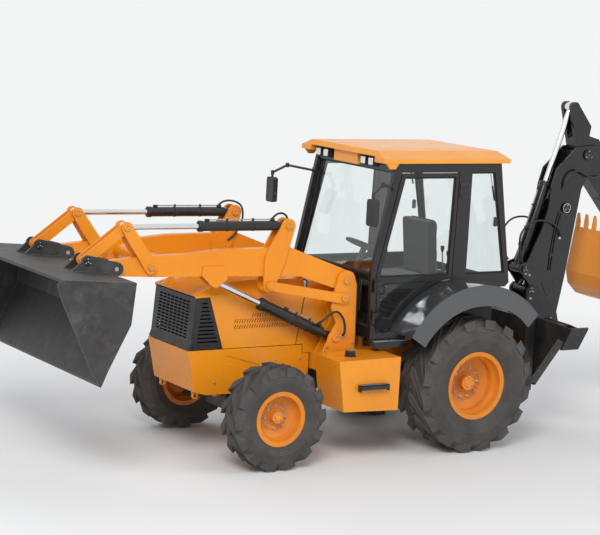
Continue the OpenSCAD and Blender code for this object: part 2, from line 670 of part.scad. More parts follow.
// Loader arms with their rear levers and cross tube
arm_outline = [[1340, 1570], [1775, 1712], [2480, 1738], [3300, 1757], [bucket_pin[0], bucket_pin[1] - 70],
    [bucket_pin[0], bucket_pin[1] + 70], [3450, 1945], [3000, 1955], [2650, 1985], [1900, 1990],
        [1230, 1745]];
cross_tube = [3160, 1850];
module loader_arms() color(orange) seated() {
    both() difference() {
        union() {
            slab(arm_y - arm_w / 2, arm_y + arm_w / 2) {
                polygon(arm_outline);
                disc(lift_pin, 88);
                disc(bucket_pin, 70);
            }
            for (y = [arm_y - arm_w / 2 - 22, arm_y + arm_w / 2]) slab(y, y + 22) {
                link2d(tilt_base, 70, [2070, 1880], 110);
                link2d([2070, 1880], 110, lever_foot, 60);
            }
            for (y = [arm_y - arm_w / 2 - 16, arm_y + arm_w / 2]) slab(y, y + 16)
                polygon([[2561, 1720], lift_eye + [-45, -30], lift_eye + [0, -55], lift_eye + [50, -30],
                    [2834, 1755], [2820, 1840], [2600, 1840]]);
        }
        // the lift cylinder's eye moves in here
        slab(arm_y - 35, arm_y + 35) polygon([[2080, 1600], [2960, 1600], [2900, 1945], [2760, 1966],
            [2480, 1966], [2080, 1945]]);
        cross(lift_pin, pin_r + pin_gap, arm_y - 200, arm_y + 200);
        slab(arm_y - arm_w / 2 + 1, arm_y + arm_w / 2 - 1) link2d(tilt_base, 120,
            tilt_base + [-10, 30], 120);
    }
    both() cross(tilt_base, pin_r, arm_y - arm_w / 2 - 30, arm_y + arm_w / 2 + 30);
    both() cross(lever_pin, pin_r, arm_y - arm_w / 2 - 34, arm_y + arm_w / 2 + 34);
    both() cross(bucket_pin, pin_r, arm_y - arm_w / 2 - 40, arm_y + arm_w / 2 + 40);
    cross(cross_tube, 70, -arm_y + arm_w / 2 - 1, arm_y - arm_w / 2 + 1);
}

link_t = 22;
link_y = tower_out + tower_t + side_gap;
module lower_links() color(orange) seated() both() difference() {
    union() {
        slab(link_y, link_y + link_t) link2d(link_pin, 48, lever_foot, 42);
        cross(lever_foot, 30, arm_y + arm_w / 2 + 22 + seat, link_y + link_t + 8);
    }
    cross(link_pin, pin_r + pin_gap, 0, 900);
}

module lift_barrels() color(black) seated() both() translate([0, arm_y, 0])
    barrel(lift_base, lift_eye, 890, lift_barrel_r, lift_rod_r, 60, arm_w - 4, pin_r, 140);
module lift_rods() color(steel) seated() both() translate([0, arm_y, 0])
    rod(lift_base, lift_eye, 515, lift_rod_r, 48, 60);
module tilt_barrels() color(black) seated() both() translate([0, arm_y, 0])
    barrel(tilt_base, lever_top, 920, tilt_barrel_r, tilt_rod_r, 50, arm_w - 4, pin_r, 105);
module tilt_rods() color(steel) seated() both() translate([0, arm_y, 0])
    rod(tilt_base, lever_top, 660, tilt_rod_r, 42, 46);

lever_y = arm_w / 2 + side_gap;
module front_levers() color(orange) seated() both() translate([0, arm_y, 0]) {
    for (y = [-lever_y - 22, lever_y]) slab(y, y + 22) difference() {
        link2d(lever_pin, 62, lever_top, 52);
        disc(lever_pin, pin_r + pin_gap);
    }
    for (y = [-lever_y - 22, lever_y - 18]) cross(lever_top, pin_r, y, y + 40);
}
module bucket_links() color(orange) seated() both() translate([0, arm_y, 0]) {
    for (y = [-lever_y + 1, lever_y - 17]) slab(y, y + 16) difference() {
        link2d(lever_top, 46, bucket_top_pin, 46);
        disc(lever_top, pin_r + pin_gap);
    }
    cross(bucket_top_pin, pin_r, -lever_y - 16, lever_y + 16);
}

// Loader bucket, tipped as it is stored, with its cutting edge down
module bucket_shell2d() difference() {
    polygon([heel, [3836, 1461], [4032, 1081], lip, [4130, 960], [4060, 1110], [3880, 1470], [3845, 1790],
        bucket_back + [0, -bucket_t], bucket_back]);
}
module bucket_side2d() polygon([heel, [3836, 1461], [4032, 1081], lip, [4201, 1083], [4486, 1678],
    [4540, 1830], bucket_back]);
// Bolted cutting edge along the bucket's lip
edge_dir = (lip - [4032, 1081]) / norm(lip - [4032, 1081]);
edge_out = [edge_dir[1], -edge_dir[0]];
module loader_bucket() color(black) seated() {
    slab(-bucket_w / 2 + 21,
        bucket_w / 2 - 21) polygon([lip - 6 * edge_out, lip - 150 * edge_dir - 6 * edge_out,
        lip - 150 * edge_dir + 10 * edge_out, lip - 20 * edge_dir + 10 * edge_out]);
    both() cross(bucket_back + [4, -8], 14, 0, bucket_w / 2 - 1);

    slab(-bucket_w / 2, bucket_w / 2) bucket_shell2d();
    both() slab(bucket_w / 2 - 20, bucket_w / 2) bucket_side2d();
    both() for (y = [arm_y - lever_y - 50, arm_y + lever_y + 28]) slab(y, y + 22) difference() {
        union() {
            link2d(bucket_pin, 60, bucket_top_pin, 55);
            polygon([bucket_pin + [-20, -55], [3820, 1790], [4150, 1845], bucket_top_pin + [50, 10],
                bucket_pin]);
        }
        disc(bucket_pin, pin_r + pin_gap);
    }
}

// Backhoe mounting frame behind the rear axle: a cross box, two kingpin plates, pins and
// ears for the stabilisers, and a lashing eye at each lower corner
rear_eye = [-1000, 405];
leg_x0 = -1220;
leg_x1 = -1100;
module rear_frame() color(black) seated() difference() {
    union() {
        translate([-1060, -560, 450]) cube([120, 1120, 750]);
        both() translate([-941, 200, rail_z0 - 20]) cube([rail_rear + 941, 140, rail_z1 - rail_z0 + 60]);
        for (z = [545, 990]) translate([0, 0, z]) linear_extrude(48) union() {
            polygon([[-1040, -160], [-1150, -75], [king_x, -75], [king_x, 75], [-1150, 75], [-1040, 160]]);
            translate([king_x, 0]) circle(75);
        }
        both() {
            translate([leg_x0 - 20, leg_pin[0], leg_pin[1]]) rotate([0, 90, 0]) cylinder(r = 30, h = 200);
            translate([-1094, leg_pin[0], leg_pin[1]]) rotate([0, 90, 0]) cylinder(r = 60, h = 60);
            for (x = [leg_x0, leg_x1 - leg_plate]) bulk(x, x + leg_plate)
                union() {
                    disc(leg_base, 44);
                    polygon([[120, 1150], [200, 1156], [200, 1244], [120, 1240]]);
                }
            translate([leg_x0, 120, 1150]) cube([-1059 - leg_x0, 30, 90]);
            translate([leg_x0 - 10, leg_base[0], leg_base[1]]) rotate([0, 90, 0]) cylinder(r = 20, h = 140);
            slab(522, 552) difference() {
                union() {
                    polygon([[-1050, 460], [-950, 460], [-975, 400], [-1025, 400]]);
                    disc(rear_eye, 38);
                }
                disc(rear_eye, lashing_r);
            }
        }
    }
    translate([king_x, 0, 400]) cylinder(r = 40 + pin_gap, h = 900);
}

module swing_post() color(black) seated() {
    difference() {
        union() {
            translate([king_x, 0, 600]) cylinder(r = 72, h = 384);
            translate([-1600, -155, 640]) cube([110, 310, 310]);
            translate([-1600, -60, 640]) cube([180, 120, 310]);
            both() slab(boom_half + side_gap, boom_half + side_gap + 28)
                polygon([[-1520, 640], [-1520, 1060], [-1262, 1060], [-1255, 1400], [-1300, 1450],
                    [-1380, 1440],
                    [-1660, 1160], [-1690, 1060], [-1640, 640]]);
        }
        cross(boom_pin, 35 + pin_gap, -300, 300);
    }
    translate([king_x, 0, 540]) cylinder(r = 40, h = 504);
    cross(boom_ram_base, pin_r, -boom_half - 30, boom_half + 30);
}

boom_outline = [[-1522, 985], [-1506, 1046], [-1390, 1230], [-1345, 1400], [-1221, 1548],
    [-1165, 1590], [-1165, 1670],
    [-1265, 1700], [-1419, 2041], [-1478, 2246], [-1507, 2492], [-1557, 2656], [-1640, 2730],
        [-1800, 2880], [-2060, 2900], [-2080, 2760], [-1900, 2445], [-1760, 1530], [-1686, 1150],
            [-1676, 1060]];
boom_back = [[-1710, 1390], [-1864, 2400]];
boom_front = [[-1552, 2335], [-1602, 2480]];
module boom() color(black) seated() {
    both() slab(boom_half - cheek, boom_half) {
        polygon(boom_outline);
        disc(boom_pin, 75);
    }
    slab(-boom_half + cheek - 1, boom_half - cheek + 1) {
        link2d(boom_back[0], 9, boom_back[1], 9);
        link2d(boom_front[0], 9, boom_front[1], 9);
    }
    cross(boom_pin, 35, -boom_half - 34, boom_half + 34);
    cross(dipper_ram_base, pin_r, -boom_half - 10, boom_half + 10);
    cross(dipper_pin, 45, -boom_half - 14, boom_half + 14);
    both() cross(boom_ram_eye, 48, boom_half - 1, boom_half + 30);
}

module boom_barrel() color(black) seated()
    barrel(boom_ram_base, boom_ram_eye, 870, hoe_barrel_r, hoe_rod_r, 45, 2 * (boom_half - cheek) - 4,
        pin_r);
module boom_rod() color(steel) seated()
    rod(boom_ram_base, boom_ram_eye, 82, hoe_rod_r, 52, 2 * (boom_half - cheek) - 4);

horn_hole = [[-2010, 3150], [-1985, 2995], [-2115, 2960]];
module dipper() color(black) seated() {
    difference() {
        union() {
            slab(-dipper_half, dipper_half) {
                link2d(dipper_pin, 120, hoe_pin, 71);
                link2d(dipper_pin, 100, horn_pin, 57);
                link2d(horn_pin, 55, on_dipper(1330, 150), 80);
                link2d(on_dipper(1330, 150), 78, on_dipper(800, 30), 85);
            }
            both() slab(52, 72) link2d(crowd_base, 50, on_dipper(1200, 100), 90);
        }
        slab(-45, 45) {
            link2d(horn_pin, 64, horn_pin + [-36, -92], 84);
            translate(horn_pin) polygon([[-80, -60], [-118, -120], [-100, -200], [-30, -345], [60, -350],
                [320, -240], [330, 120], [40, 120]]);
        }
        cross(dipper_pin, 45 + pin_gap, -200, 200);
        slab(-dipper_half - 1, dipper_half + 1) polygon(horn_hole);
    }
    cross(hoe_pin, 30, -dipper_half - side_gap - 24, dipper_half + side_gap + 24);
    cross(rocker_pin, 30, -dipper_half - side_gap - 20, dipper_half + side_gap + 20);
    cross(crowd_base, pin_r, -72, 72);
}
module dipper_barrel() color(black) seated()
    barrel(dipper_ram_base, horn_pin, 930, hoe_barrel_r, hoe_rod_r, 46, 2 * (boom_half - cheek) - 4,
        pin_r, 190);
module dipper_rod() color(steel) seated()
    rod(dipper_ram_base, horn_pin, 785, hoe_rod_r, 48, 84);

module tipping_levers() color(black) seated() difference() {
    union() {
        both() slab(dipper_half + side_gap, dipper_half + side_gap + 20) link2d(rocker_pin, 50,
            rocker_top, 45);
        both() cross(rocker_top, 30, 34, dipper_half + side_gap + 20);
    }
    cross(rocker_pin, 30 + pin_gap, -200, 200);
}
module tipping_link() color(black) seated() {
    both() slab(48, 78) difference() {
        link2d(rocker_top, 48, hoe_top_pin, 45);
        disc(rocker_top, 30 + pin_gap);
    }
    cross(hoe_top_pin, 28, -dipper_half, dipper_half);
}
module crowd_barrel() color(black) seated()
    barrel(crowd_base, rocker_top, 560, 46, 25, 45, 96, pin_r);
module crowd_rod() color(steel) seated() rod(crowd_base, rocker_top, 470, 25, 46, 60);

// Bucket of the digging arm: a bent shell between two side plates, with five teeth on its lip
hoe_t = 16;
hoe_lip = [-2215, 1985];
hoe_shell = [hoe_lip, [-2135, 1520], [-2170, 1385], [-2290, 1275], [-2500, 1215], [-2700, 1220],
    [-2900, 1285],
    [-3030, 1385], [-3050, 1470], [-2990, 1530], [-2780, 1590]];
module hoe_bucket() color(orange) seated() {
    slab(-hoe_w / 2, hoe_w / 2) for (i = [0 : len(hoe_shell) - 2])
        link2d(hoe_shell[i], hoe_t / 2, hoe_shell[i + 1], hoe_t / 2);
    both() slab(hoe_w / 2 - hoe_t, hoe_w / 2) polygon(concat(hoe_shell, [[-2540, 1680], [-2330, 1850]]));
    for (i = [-2 : 2]) translate([0, i * (hoe_w - 70) / 4, 0]) slab(-22, 22)
        polygon([hoe_lip + [-14, -40], hoe_lip + [18, -40], hoe_lip + [12, 60], [-2220, 2140],
            hoe_lip + [-22, 60]]);
    both() slab(dipper_half + side_gap, dipper_half + side_gap + 24) difference() {
        union() {
            link2d(hoe_pin, 60, hoe_top_pin, 55);
            polygon([hoe_pin + [60, 0], [-2780, 1588], [-2990, 1528], [-3045, 1470],
                hoe_top_pin + [-40, -20]]);
        }
        disc(hoe_pin, 30 + pin_gap);
    }
    both() cross(hoe_top_pin, 34, dipper_half + side_gap + 1, dipper_half + side_gap + 34);
}

// Stabiliser legs, raised: a tapered leg in two plates with a web, and a flat foot
leg_pin = [360, 520];
leg_eye = [462, 748];
leg_base = [200, 1200];
leg_outline = [[315, 470], [430, 465], [880, 1040], [905, 1180], [520, 1190], [310, 560]];
leg_plate = 16;
module stabiliser(left) color(black) seated() on_side(left) difference() {
    union() {
        for (x = [leg_x0, leg_x1 - leg_plate]) bulk(x, x + leg_plate) polygon(leg_outline);
        bulk(leg_x0, leg_x1) polygon([[452, 493], [880, 1040], [900, 1140], [884, 1140], [866, 1046],
            [440, 505]]);
        bulk(leg_x0, leg_x1) link2d([540, 1170], 9, [890, 1165], 9);
        bulk(leg_x0 - 40, leg_x1 + 60) polygon([[985, 950], [1010, 945], [1145, 1180], [1125, 1190]]);
        for (x = [leg_x0, leg_x1 - leg_plate]) bulk(x, x + leg_plate)
            polygon([[880, 1040], [905, 1180], [1100, 1160], [1015, 1000]]);
    }
    translate([-1400, leg_pin[0], leg_pin[1]]) rotate([0, 90, 0]) cylinder(r = 30 + pin_gap, h = 500);
}
// Cylinder of a stabiliser, drawn in side view and turned to run across the machine
module across_at(x) translate([x, 0, 0]) rotate([0, 0, 90]) children();
leg_mid_x = (leg_x0 + leg_x1) / 2;
leg_gap = leg_x1 - leg_x0 - 2 * leg_plate;
module stabiliser_barrel(left) color(black) seated() on_side(left) across_at(leg_mid_x)
    barrel(leg_base, leg_eye, 400, 36, 18, 40, leg_gap - 4, 20);
module stabiliser_rod(left) color(steel) seated() on_side(left) across_at(leg_mid_x)
    rod(leg_base, leg_eye, 90, 18, 34, leg_gap - 8);

frame();
rear_frame();
powertrain();
front_axle();
rear_axle();
nose();
cowl();
hood();
grille();
cab_frame();
roof();
windows();
cab_floor();
seat();
controls();
fenders();
side_boxes();
mirrors();
lamps();
door(true);  // door_left
door(false);  // door_right
door_glass(true);  // door_glass_left
door_glass(false);  // door_glass_right
knuckle(true);  // knuckle_left
knuckle(false);  // knuckle_right
tyre_front(true);  // tyre_front_left
tyre_front(false);  // tyre_front_right
tyre_rear(true);  // tyre_rear_left
tyre_rear(false);  // tyre_rear_right
rim_front(true);  // rim_front_left
rim_front(false);  // rim_front_right
rim_rear(true);  // rim_rear_left
rim_rear(false);  // rim_rear_right
loader_arms();
lower_links();
lift_barrels();
lift_rods();
tilt_barrels();
tilt_rods();
front_levers();
bucket_links();
loader_bucket();
swing_post();
boom();
boom_barrel();
boom_rod();
dipper();
dipper_barrel();
dipper_rod();
tipping_levers();
tipping_link();
crowd_barrel();
crowd_rod();
hoe_bucket();
stabiliser(true);  // stabiliser_left
stabiliser(false);  // stabiliser_right
stabiliser_barrel(true);  // stabiliser_barrel_left
stabiliser_barrel(false);  // stabiliser_barrel_right
stabiliser_rod(true);  // stabiliser_rod_left
stabiliser_rod(false);  // stabiliser_rod_right
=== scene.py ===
"""Looks of a backhoe loader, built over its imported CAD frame.

The row frame is in metres, +X forward, +Y to the driver's left, +Z up. Side-view points are
written (x, z) in millimetres from the rear axle and the ground, as in the part's source.
"""

import json
import math

import bmesh
import bpy
from mathutils import Matrix, Vector
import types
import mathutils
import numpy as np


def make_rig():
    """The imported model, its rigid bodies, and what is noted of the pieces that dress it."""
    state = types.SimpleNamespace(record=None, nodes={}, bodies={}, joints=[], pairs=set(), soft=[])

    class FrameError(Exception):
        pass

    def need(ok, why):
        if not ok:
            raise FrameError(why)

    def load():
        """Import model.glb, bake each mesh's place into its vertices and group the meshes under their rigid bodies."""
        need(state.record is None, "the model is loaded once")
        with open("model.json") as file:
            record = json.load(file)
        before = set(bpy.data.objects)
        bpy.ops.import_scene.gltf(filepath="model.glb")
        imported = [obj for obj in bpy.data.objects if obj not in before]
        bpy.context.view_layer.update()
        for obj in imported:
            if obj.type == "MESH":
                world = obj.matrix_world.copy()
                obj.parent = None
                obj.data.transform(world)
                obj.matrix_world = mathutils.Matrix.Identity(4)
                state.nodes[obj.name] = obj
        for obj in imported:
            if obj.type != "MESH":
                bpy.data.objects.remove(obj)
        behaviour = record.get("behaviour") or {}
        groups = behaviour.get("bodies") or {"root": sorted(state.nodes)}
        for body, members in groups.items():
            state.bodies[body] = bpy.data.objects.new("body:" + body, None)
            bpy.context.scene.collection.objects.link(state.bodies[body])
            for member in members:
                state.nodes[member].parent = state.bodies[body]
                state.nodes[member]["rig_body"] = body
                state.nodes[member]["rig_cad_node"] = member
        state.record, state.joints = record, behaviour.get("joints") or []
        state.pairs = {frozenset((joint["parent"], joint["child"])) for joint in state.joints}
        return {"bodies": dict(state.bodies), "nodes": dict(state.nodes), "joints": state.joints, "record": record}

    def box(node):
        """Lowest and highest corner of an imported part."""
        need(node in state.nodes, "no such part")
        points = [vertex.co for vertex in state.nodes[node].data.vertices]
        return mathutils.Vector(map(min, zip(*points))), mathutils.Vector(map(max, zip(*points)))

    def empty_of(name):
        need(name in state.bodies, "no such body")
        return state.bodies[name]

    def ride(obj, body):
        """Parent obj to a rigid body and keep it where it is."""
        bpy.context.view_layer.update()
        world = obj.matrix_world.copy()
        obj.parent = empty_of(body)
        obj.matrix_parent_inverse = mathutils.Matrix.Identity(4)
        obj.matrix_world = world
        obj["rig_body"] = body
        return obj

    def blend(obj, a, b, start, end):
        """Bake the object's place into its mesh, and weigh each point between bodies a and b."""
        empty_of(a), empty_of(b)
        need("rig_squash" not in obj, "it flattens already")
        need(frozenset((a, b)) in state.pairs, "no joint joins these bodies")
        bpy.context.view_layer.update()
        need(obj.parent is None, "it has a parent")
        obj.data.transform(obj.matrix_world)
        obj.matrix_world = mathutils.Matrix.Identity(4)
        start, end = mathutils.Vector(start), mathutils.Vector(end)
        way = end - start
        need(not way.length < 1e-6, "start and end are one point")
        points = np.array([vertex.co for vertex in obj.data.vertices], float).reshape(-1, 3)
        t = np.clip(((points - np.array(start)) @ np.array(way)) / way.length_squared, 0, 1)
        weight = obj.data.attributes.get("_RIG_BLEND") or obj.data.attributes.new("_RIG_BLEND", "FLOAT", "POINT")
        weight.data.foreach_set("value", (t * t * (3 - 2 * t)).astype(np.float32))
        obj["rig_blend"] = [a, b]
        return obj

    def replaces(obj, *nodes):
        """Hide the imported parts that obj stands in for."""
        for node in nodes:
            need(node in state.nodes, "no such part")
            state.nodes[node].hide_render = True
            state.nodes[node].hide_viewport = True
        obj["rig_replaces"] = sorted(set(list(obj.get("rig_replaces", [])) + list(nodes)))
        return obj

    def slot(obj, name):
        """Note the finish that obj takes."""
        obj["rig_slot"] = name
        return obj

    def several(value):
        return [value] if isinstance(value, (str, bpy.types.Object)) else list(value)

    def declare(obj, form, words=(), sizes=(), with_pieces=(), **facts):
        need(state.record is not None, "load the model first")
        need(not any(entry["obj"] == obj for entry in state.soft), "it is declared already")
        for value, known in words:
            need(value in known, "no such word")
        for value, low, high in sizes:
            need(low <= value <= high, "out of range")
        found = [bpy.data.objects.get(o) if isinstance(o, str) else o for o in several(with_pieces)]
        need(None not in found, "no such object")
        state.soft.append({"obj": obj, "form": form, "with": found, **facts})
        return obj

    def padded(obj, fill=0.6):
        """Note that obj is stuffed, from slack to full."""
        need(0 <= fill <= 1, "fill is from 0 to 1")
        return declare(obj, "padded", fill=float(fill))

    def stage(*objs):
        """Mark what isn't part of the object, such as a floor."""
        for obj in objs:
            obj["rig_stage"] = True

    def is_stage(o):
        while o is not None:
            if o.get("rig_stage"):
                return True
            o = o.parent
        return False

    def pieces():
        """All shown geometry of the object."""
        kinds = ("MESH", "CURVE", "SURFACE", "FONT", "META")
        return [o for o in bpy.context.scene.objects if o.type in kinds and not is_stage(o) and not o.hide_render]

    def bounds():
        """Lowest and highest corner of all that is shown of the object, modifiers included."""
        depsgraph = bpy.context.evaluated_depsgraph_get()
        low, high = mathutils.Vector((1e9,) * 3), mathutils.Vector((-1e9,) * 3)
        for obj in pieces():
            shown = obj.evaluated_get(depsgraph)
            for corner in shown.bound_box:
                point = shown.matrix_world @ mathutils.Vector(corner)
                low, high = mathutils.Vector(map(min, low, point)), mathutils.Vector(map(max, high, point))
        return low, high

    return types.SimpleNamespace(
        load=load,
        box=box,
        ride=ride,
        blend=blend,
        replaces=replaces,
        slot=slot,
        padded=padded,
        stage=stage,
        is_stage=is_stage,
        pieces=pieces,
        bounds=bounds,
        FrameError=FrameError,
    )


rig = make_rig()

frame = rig.load()
CAD_BOX = [list(corner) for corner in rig.bounds()]
TYRE_LOW, TYRE_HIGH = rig.box("tyre_rear_left")
REAR_AXLE_X = (TYRE_LOW.x + TYRE_HIGH.x) / 2


def at(x, z, y=0.0):
    """Row-frame point of side-view point (x, z) at width y, all in millimetres."""
    return Vector((REAR_AXLE_X + x / 1000, y / 1000, z / 1000))


WHEELBASE = 2207
FRONT_TYRE_R, REAR_TYRE_R = 488, 657
SIDES = ((1, "left"), (-1, "right"))
UP = (0, 0, 1)

# Camera, floor and light

PHOTO_W = 600
FOCAL_PX = 1964.55
SENSOR_MM = 36.0
CAMERA_AT = Vector((REAR_AXLE_X + 11.47489, 15.81782, 4.48164))
CAMERA_RIGHT = Vector((-0.8475172, 0.52786399, 0.05544549))
CAMERA_UP = Vector((-0.03116417, -0.15377247, 0.98761471))
CAMERA_AHEAD = Vector((-0.52985223, -0.83529254, -0.14677526))
BACKDROP = (0.90, 0.905, 0.91)
SKY = (0.86, 0.90, 0.97)
SKY_STRENGTH = 0.55
FLOOR_HALF = 60.0
FLOOR_NEAR, FLOOR_FAR = 4.5, 9.0
FAR_CLIP = 200.0
# Lamps, as (name, place, aim, width, power, colour, whether gloss mirrors it)
LAMPS = (
    ("key", (9.0, 10.0, 11.0), (0.3, 0, 1.2), 7.0, 1500.0, (1.0, 0.985, 0.96), True),
    ("fill", (-9.0, 9.0, 7.0), (0, 0, 1.2), 8.0, 500.0, (0.95, 0.97, 1.0), False),
    ("rim", (2.0, -12.0, 9.0), (0, 0, 1.2), 7.0, 500.0, (1.0, 1.0, 1.0), False),
)


def make_camera():
    data = bpy.data.cameras.new("camera")
    data.sensor_fit = "HORIZONTAL"
    data.sensor_width = SENSOR_MM
    data.lens = SENSOR_MM * FOCAL_PX / PHOTO_W
    data.clip_end = FAR_CLIP
    camera = bpy.data.objects.new("camera", data)
    bpy.context.scene.collection.objects.link(camera)
    turn = Matrix((CAMERA_RIGHT, CAMERA_UP, -CAMERA_AHEAD)).transposed()
    camera.matrix_world = Matrix.Translation(CAMERA_AT) @ turn.to_4x4()
    bpy.context.scene.camera = camera


def area_light(name, place, target, size, power, colour, glare):
    data = bpy.data.lights.new(name, "AREA")
    data.shape = "DISK"
    data.size = size
    data.energy = power
    data.color = colour
    lamp = bpy.data.objects.new(name, data)
    lamp.location = place
    lamp.rotation_euler = (Vector(target) - Vector(place)).to_track_quat("-Z", "Y").to_euler()
    lamp.visible_glossy = glare
    bpy.context.scene.collection.objects.link(lamp)


def seen_rays(tree):
    """1 for rays that show the backdrop: from the camera, off gloss and through glass."""
    rays = tree.nodes.new("ShaderNodeLightPath")
    total = rays.outputs["Is Camera Ray"]
    for name in ("Is Glossy Ray", "Is Transmission Ray"):
        either = tree.nodes.new("ShaderNodeMath")
        either.operation = "MAXIMUM"
        tree.links.new(total, either.inputs[0])
        tree.links.new(rays.outputs[name], either.inputs[1])
        total = either.outputs[0]
    return total


def make_world():
    world = bpy.data.worlds.new("studio")
    bpy.context.scene.world = world
    world.use_nodes = True
    tree = world.node_tree
    tree.nodes.clear()
    lit = tree.nodes.new("ShaderNodeBackground")
    lit.inputs["Color"].default_value = (*SKY, 1)
    lit.inputs["Strength"].default_value = SKY_STRENGTH
    seen = tree.nodes.new("ShaderNodeBackground")
    seen.inputs["Color"].default_value = (*BACKDROP, 1)
    mix = tree.nodes.new("ShaderNodeMixShader")
    out = tree.nodes.new("ShaderNodeOutputWorld")
    tree.links.new(seen_rays(tree), mix.inputs[0])
    tree.links.new(lit.outputs[0], mix.inputs[1])
    tree.links.new(seen.outputs[0], mix.inputs[2])
    tree.links.new(mix.outputs[0], out.inputs[0])


def make_floor():
    """Pale floor that fades into the backdrop, so no horizon shows."""
    mesh = bpy.data.meshes.new("floor")
    corners = [(x * FLOOR_HALF, y * FLOOR_HALF, 0) for x, y in ((-1, -1), (1, -1), (1, 1), (-1, 1))]
    mesh.from_pydata(corners, [], [(0, 1, 2, 3)])
    ground = bpy.data.objects.new("floor", mesh)
    bpy.context.scene.collection.objects.link(ground)
    s = Shade("floor_paint")
    s.colour(s.blend(s.fit(s.noise(0.4, 3.0), 0.3, 0.7), (0.82, 0.82, 0.81), (0.78, 0.78, 0.775)))
    s.set(Roughness=0.8)
    glow = s.node("ShaderNodeEmission")
    glow.inputs["Color"].default_value = (*BACKDROP, 1)
    length = s.node("ShaderNodeVectorMath", operation="LENGTH")
    s.link(s.place, length.inputs[0])
    fade = s.maths("MULTIPLY", s.fit(length.outputs["Value"], FLOOR_NEAR, FLOOR_FAR), seen_rays(s.tree))
    mix = s.node("ShaderNodeMixShader")
    s.link(fade, mix.inputs[0])
    s.link(s.shader.outputs[0], mix.inputs[1])
    s.link(glow.outputs[0], mix.inputs[2])
    s.link(mix.outputs[0], s.tree.nodes["Material Output"].inputs["Surface"])
    mesh.materials.append(s.material)
    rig.stage(ground)


# Materials

DUST = (0.20, 0.165, 0.125)
WORN_STEEL = (0.30, 0.22, 0.16)
# Cosine between the rounded and the flat normal, on a flat and at a sharp edge
ON_FLAT, ON_EDGE = 0.97, 0.55
PAINT_EDGE, PLATE_EDGE = 0.004, 0.006
RING_PITCH = 0.021


class Shade:
    """A Principled material and the few nodes that every material here is made from."""

    def __init__(self, name):
        self.material = bpy.data.materials.new(name)
        self.material.use_nodes = True
        self.tree = self.material.node_tree
        self.shader = self.tree.nodes["Principled BSDF"]
        self.place = self.node("ShaderNodeTexCoord").outputs["Object"]

    def node(self, kind, **settings):
        made = self.tree.nodes.new(kind)
        for key, value in settings.items():
            setattr(made, key, value)
        return made

    def link(self, a, b):
        self.tree.links.new(a, b)

    def stretched(self, scale):
        mapping = self.node("ShaderNodeMapping")
        mapping.inputs["Scale"].default_value = scale
        self.link(self.place, mapping.inputs["Vector"])
        return mapping.outputs[0]

    def noise(self, scale, detail, rough=0.55, stretch=None):
        made = self.node("ShaderNodeTexNoise")
        made.inputs["Scale"].default_value = scale
        made.inputs["Detail"].default_value = detail
        made.inputs["Roughness"].default_value = rough
        self.link(self.stretched(stretch) if stretch else self.place, made.inputs["Vector"])
        return made.outputs["Fac"]

    def fit(self, value, low, high, to_low=0.0, to_high=1.0):
        made = self.node("ShaderNodeMapRange")
        for key, number in zip(("From Min", "From Max", "To Min", "To Max"), (low, high, to_low, to_high)):
            made.inputs[key].default_value = number
        self.link(value, made.inputs["Value"])
        return made.outputs[0]

    def maths(self, kind, a, b=0.0):
        made = self.node("ShaderNodeMath", operation=kind)
        for socket, value in zip(made.inputs, (a, b)):
            if isinstance(value, (int, float)):
                socket.default_value = value
            else:
                self.link(value, socket)
        return made.outputs[0]

    def blend(self, factor, a, b):
        made = self.node("ShaderNodeMix", data_type="RGBA")
        self.link(factor, made.inputs[0])
        for socket, colour in zip((made.inputs[6], made.inputs[7]), (a, b)):
            if isinstance(colour, tuple):
                socket.default_value = (*colour, 1)
            else:
                self.link(colour, socket)
        return made.outputs[2]

    def low_down(self, top, fade):
        """1 near the ground and 0 above top, with a ragged border."""
        split = self.node("ShaderNodeSeparateXYZ")
        self.link(self.place, split.inputs[0])
        ragged = self.fit(self.noise(5.0, 6.0, 0.65), 0.3, 0.7, -fade, fade)
        return self.fit(self.maths("ADD", split.outputs["Z"], ragged), top, top - fade)

    def edge(self, radius):
        """The rounded normal of sharp edges, and a mask that is 1 along them."""
        bevel = self.node("ShaderNodeBevel", samples=4)
        bevel.inputs["Radius"].default_value = radius
        flat = self.node("ShaderNodeNewGeometry").outputs["True Normal"]
        dot = self.node("ShaderNodeVectorMath", operation="DOT_PRODUCT")
        self.link(bevel.outputs[0], dot.inputs[0])
        self.link(flat, dot.inputs[1])
        return bevel.outputs[0], self.fit(dot.outputs["Value"], ON_FLAT, ON_EDGE)

    def bump(self, height, strength, distance, normal=None):
        made = self.node("ShaderNodeBump")
        made.inputs["Strength"].default_value = strength
        made.inputs["Distance"].default_value = distance
        self.link(height, made.inputs["Height"])
        if normal is not None:
            self.link(normal, made.inputs["Normal"])
        self.link(made.outputs[0], self.shader.inputs["Normal"])

    def set(self, **values):
        for key, value in values.items():
            self.shader.inputs[key.replace("_", " ")].default_value = value

    def colour(self, output):
        self.link(output, self.shader.inputs["Base Color"])

    def rough(self, output):
        self.link(output, self.shader.inputs["Roughness"])


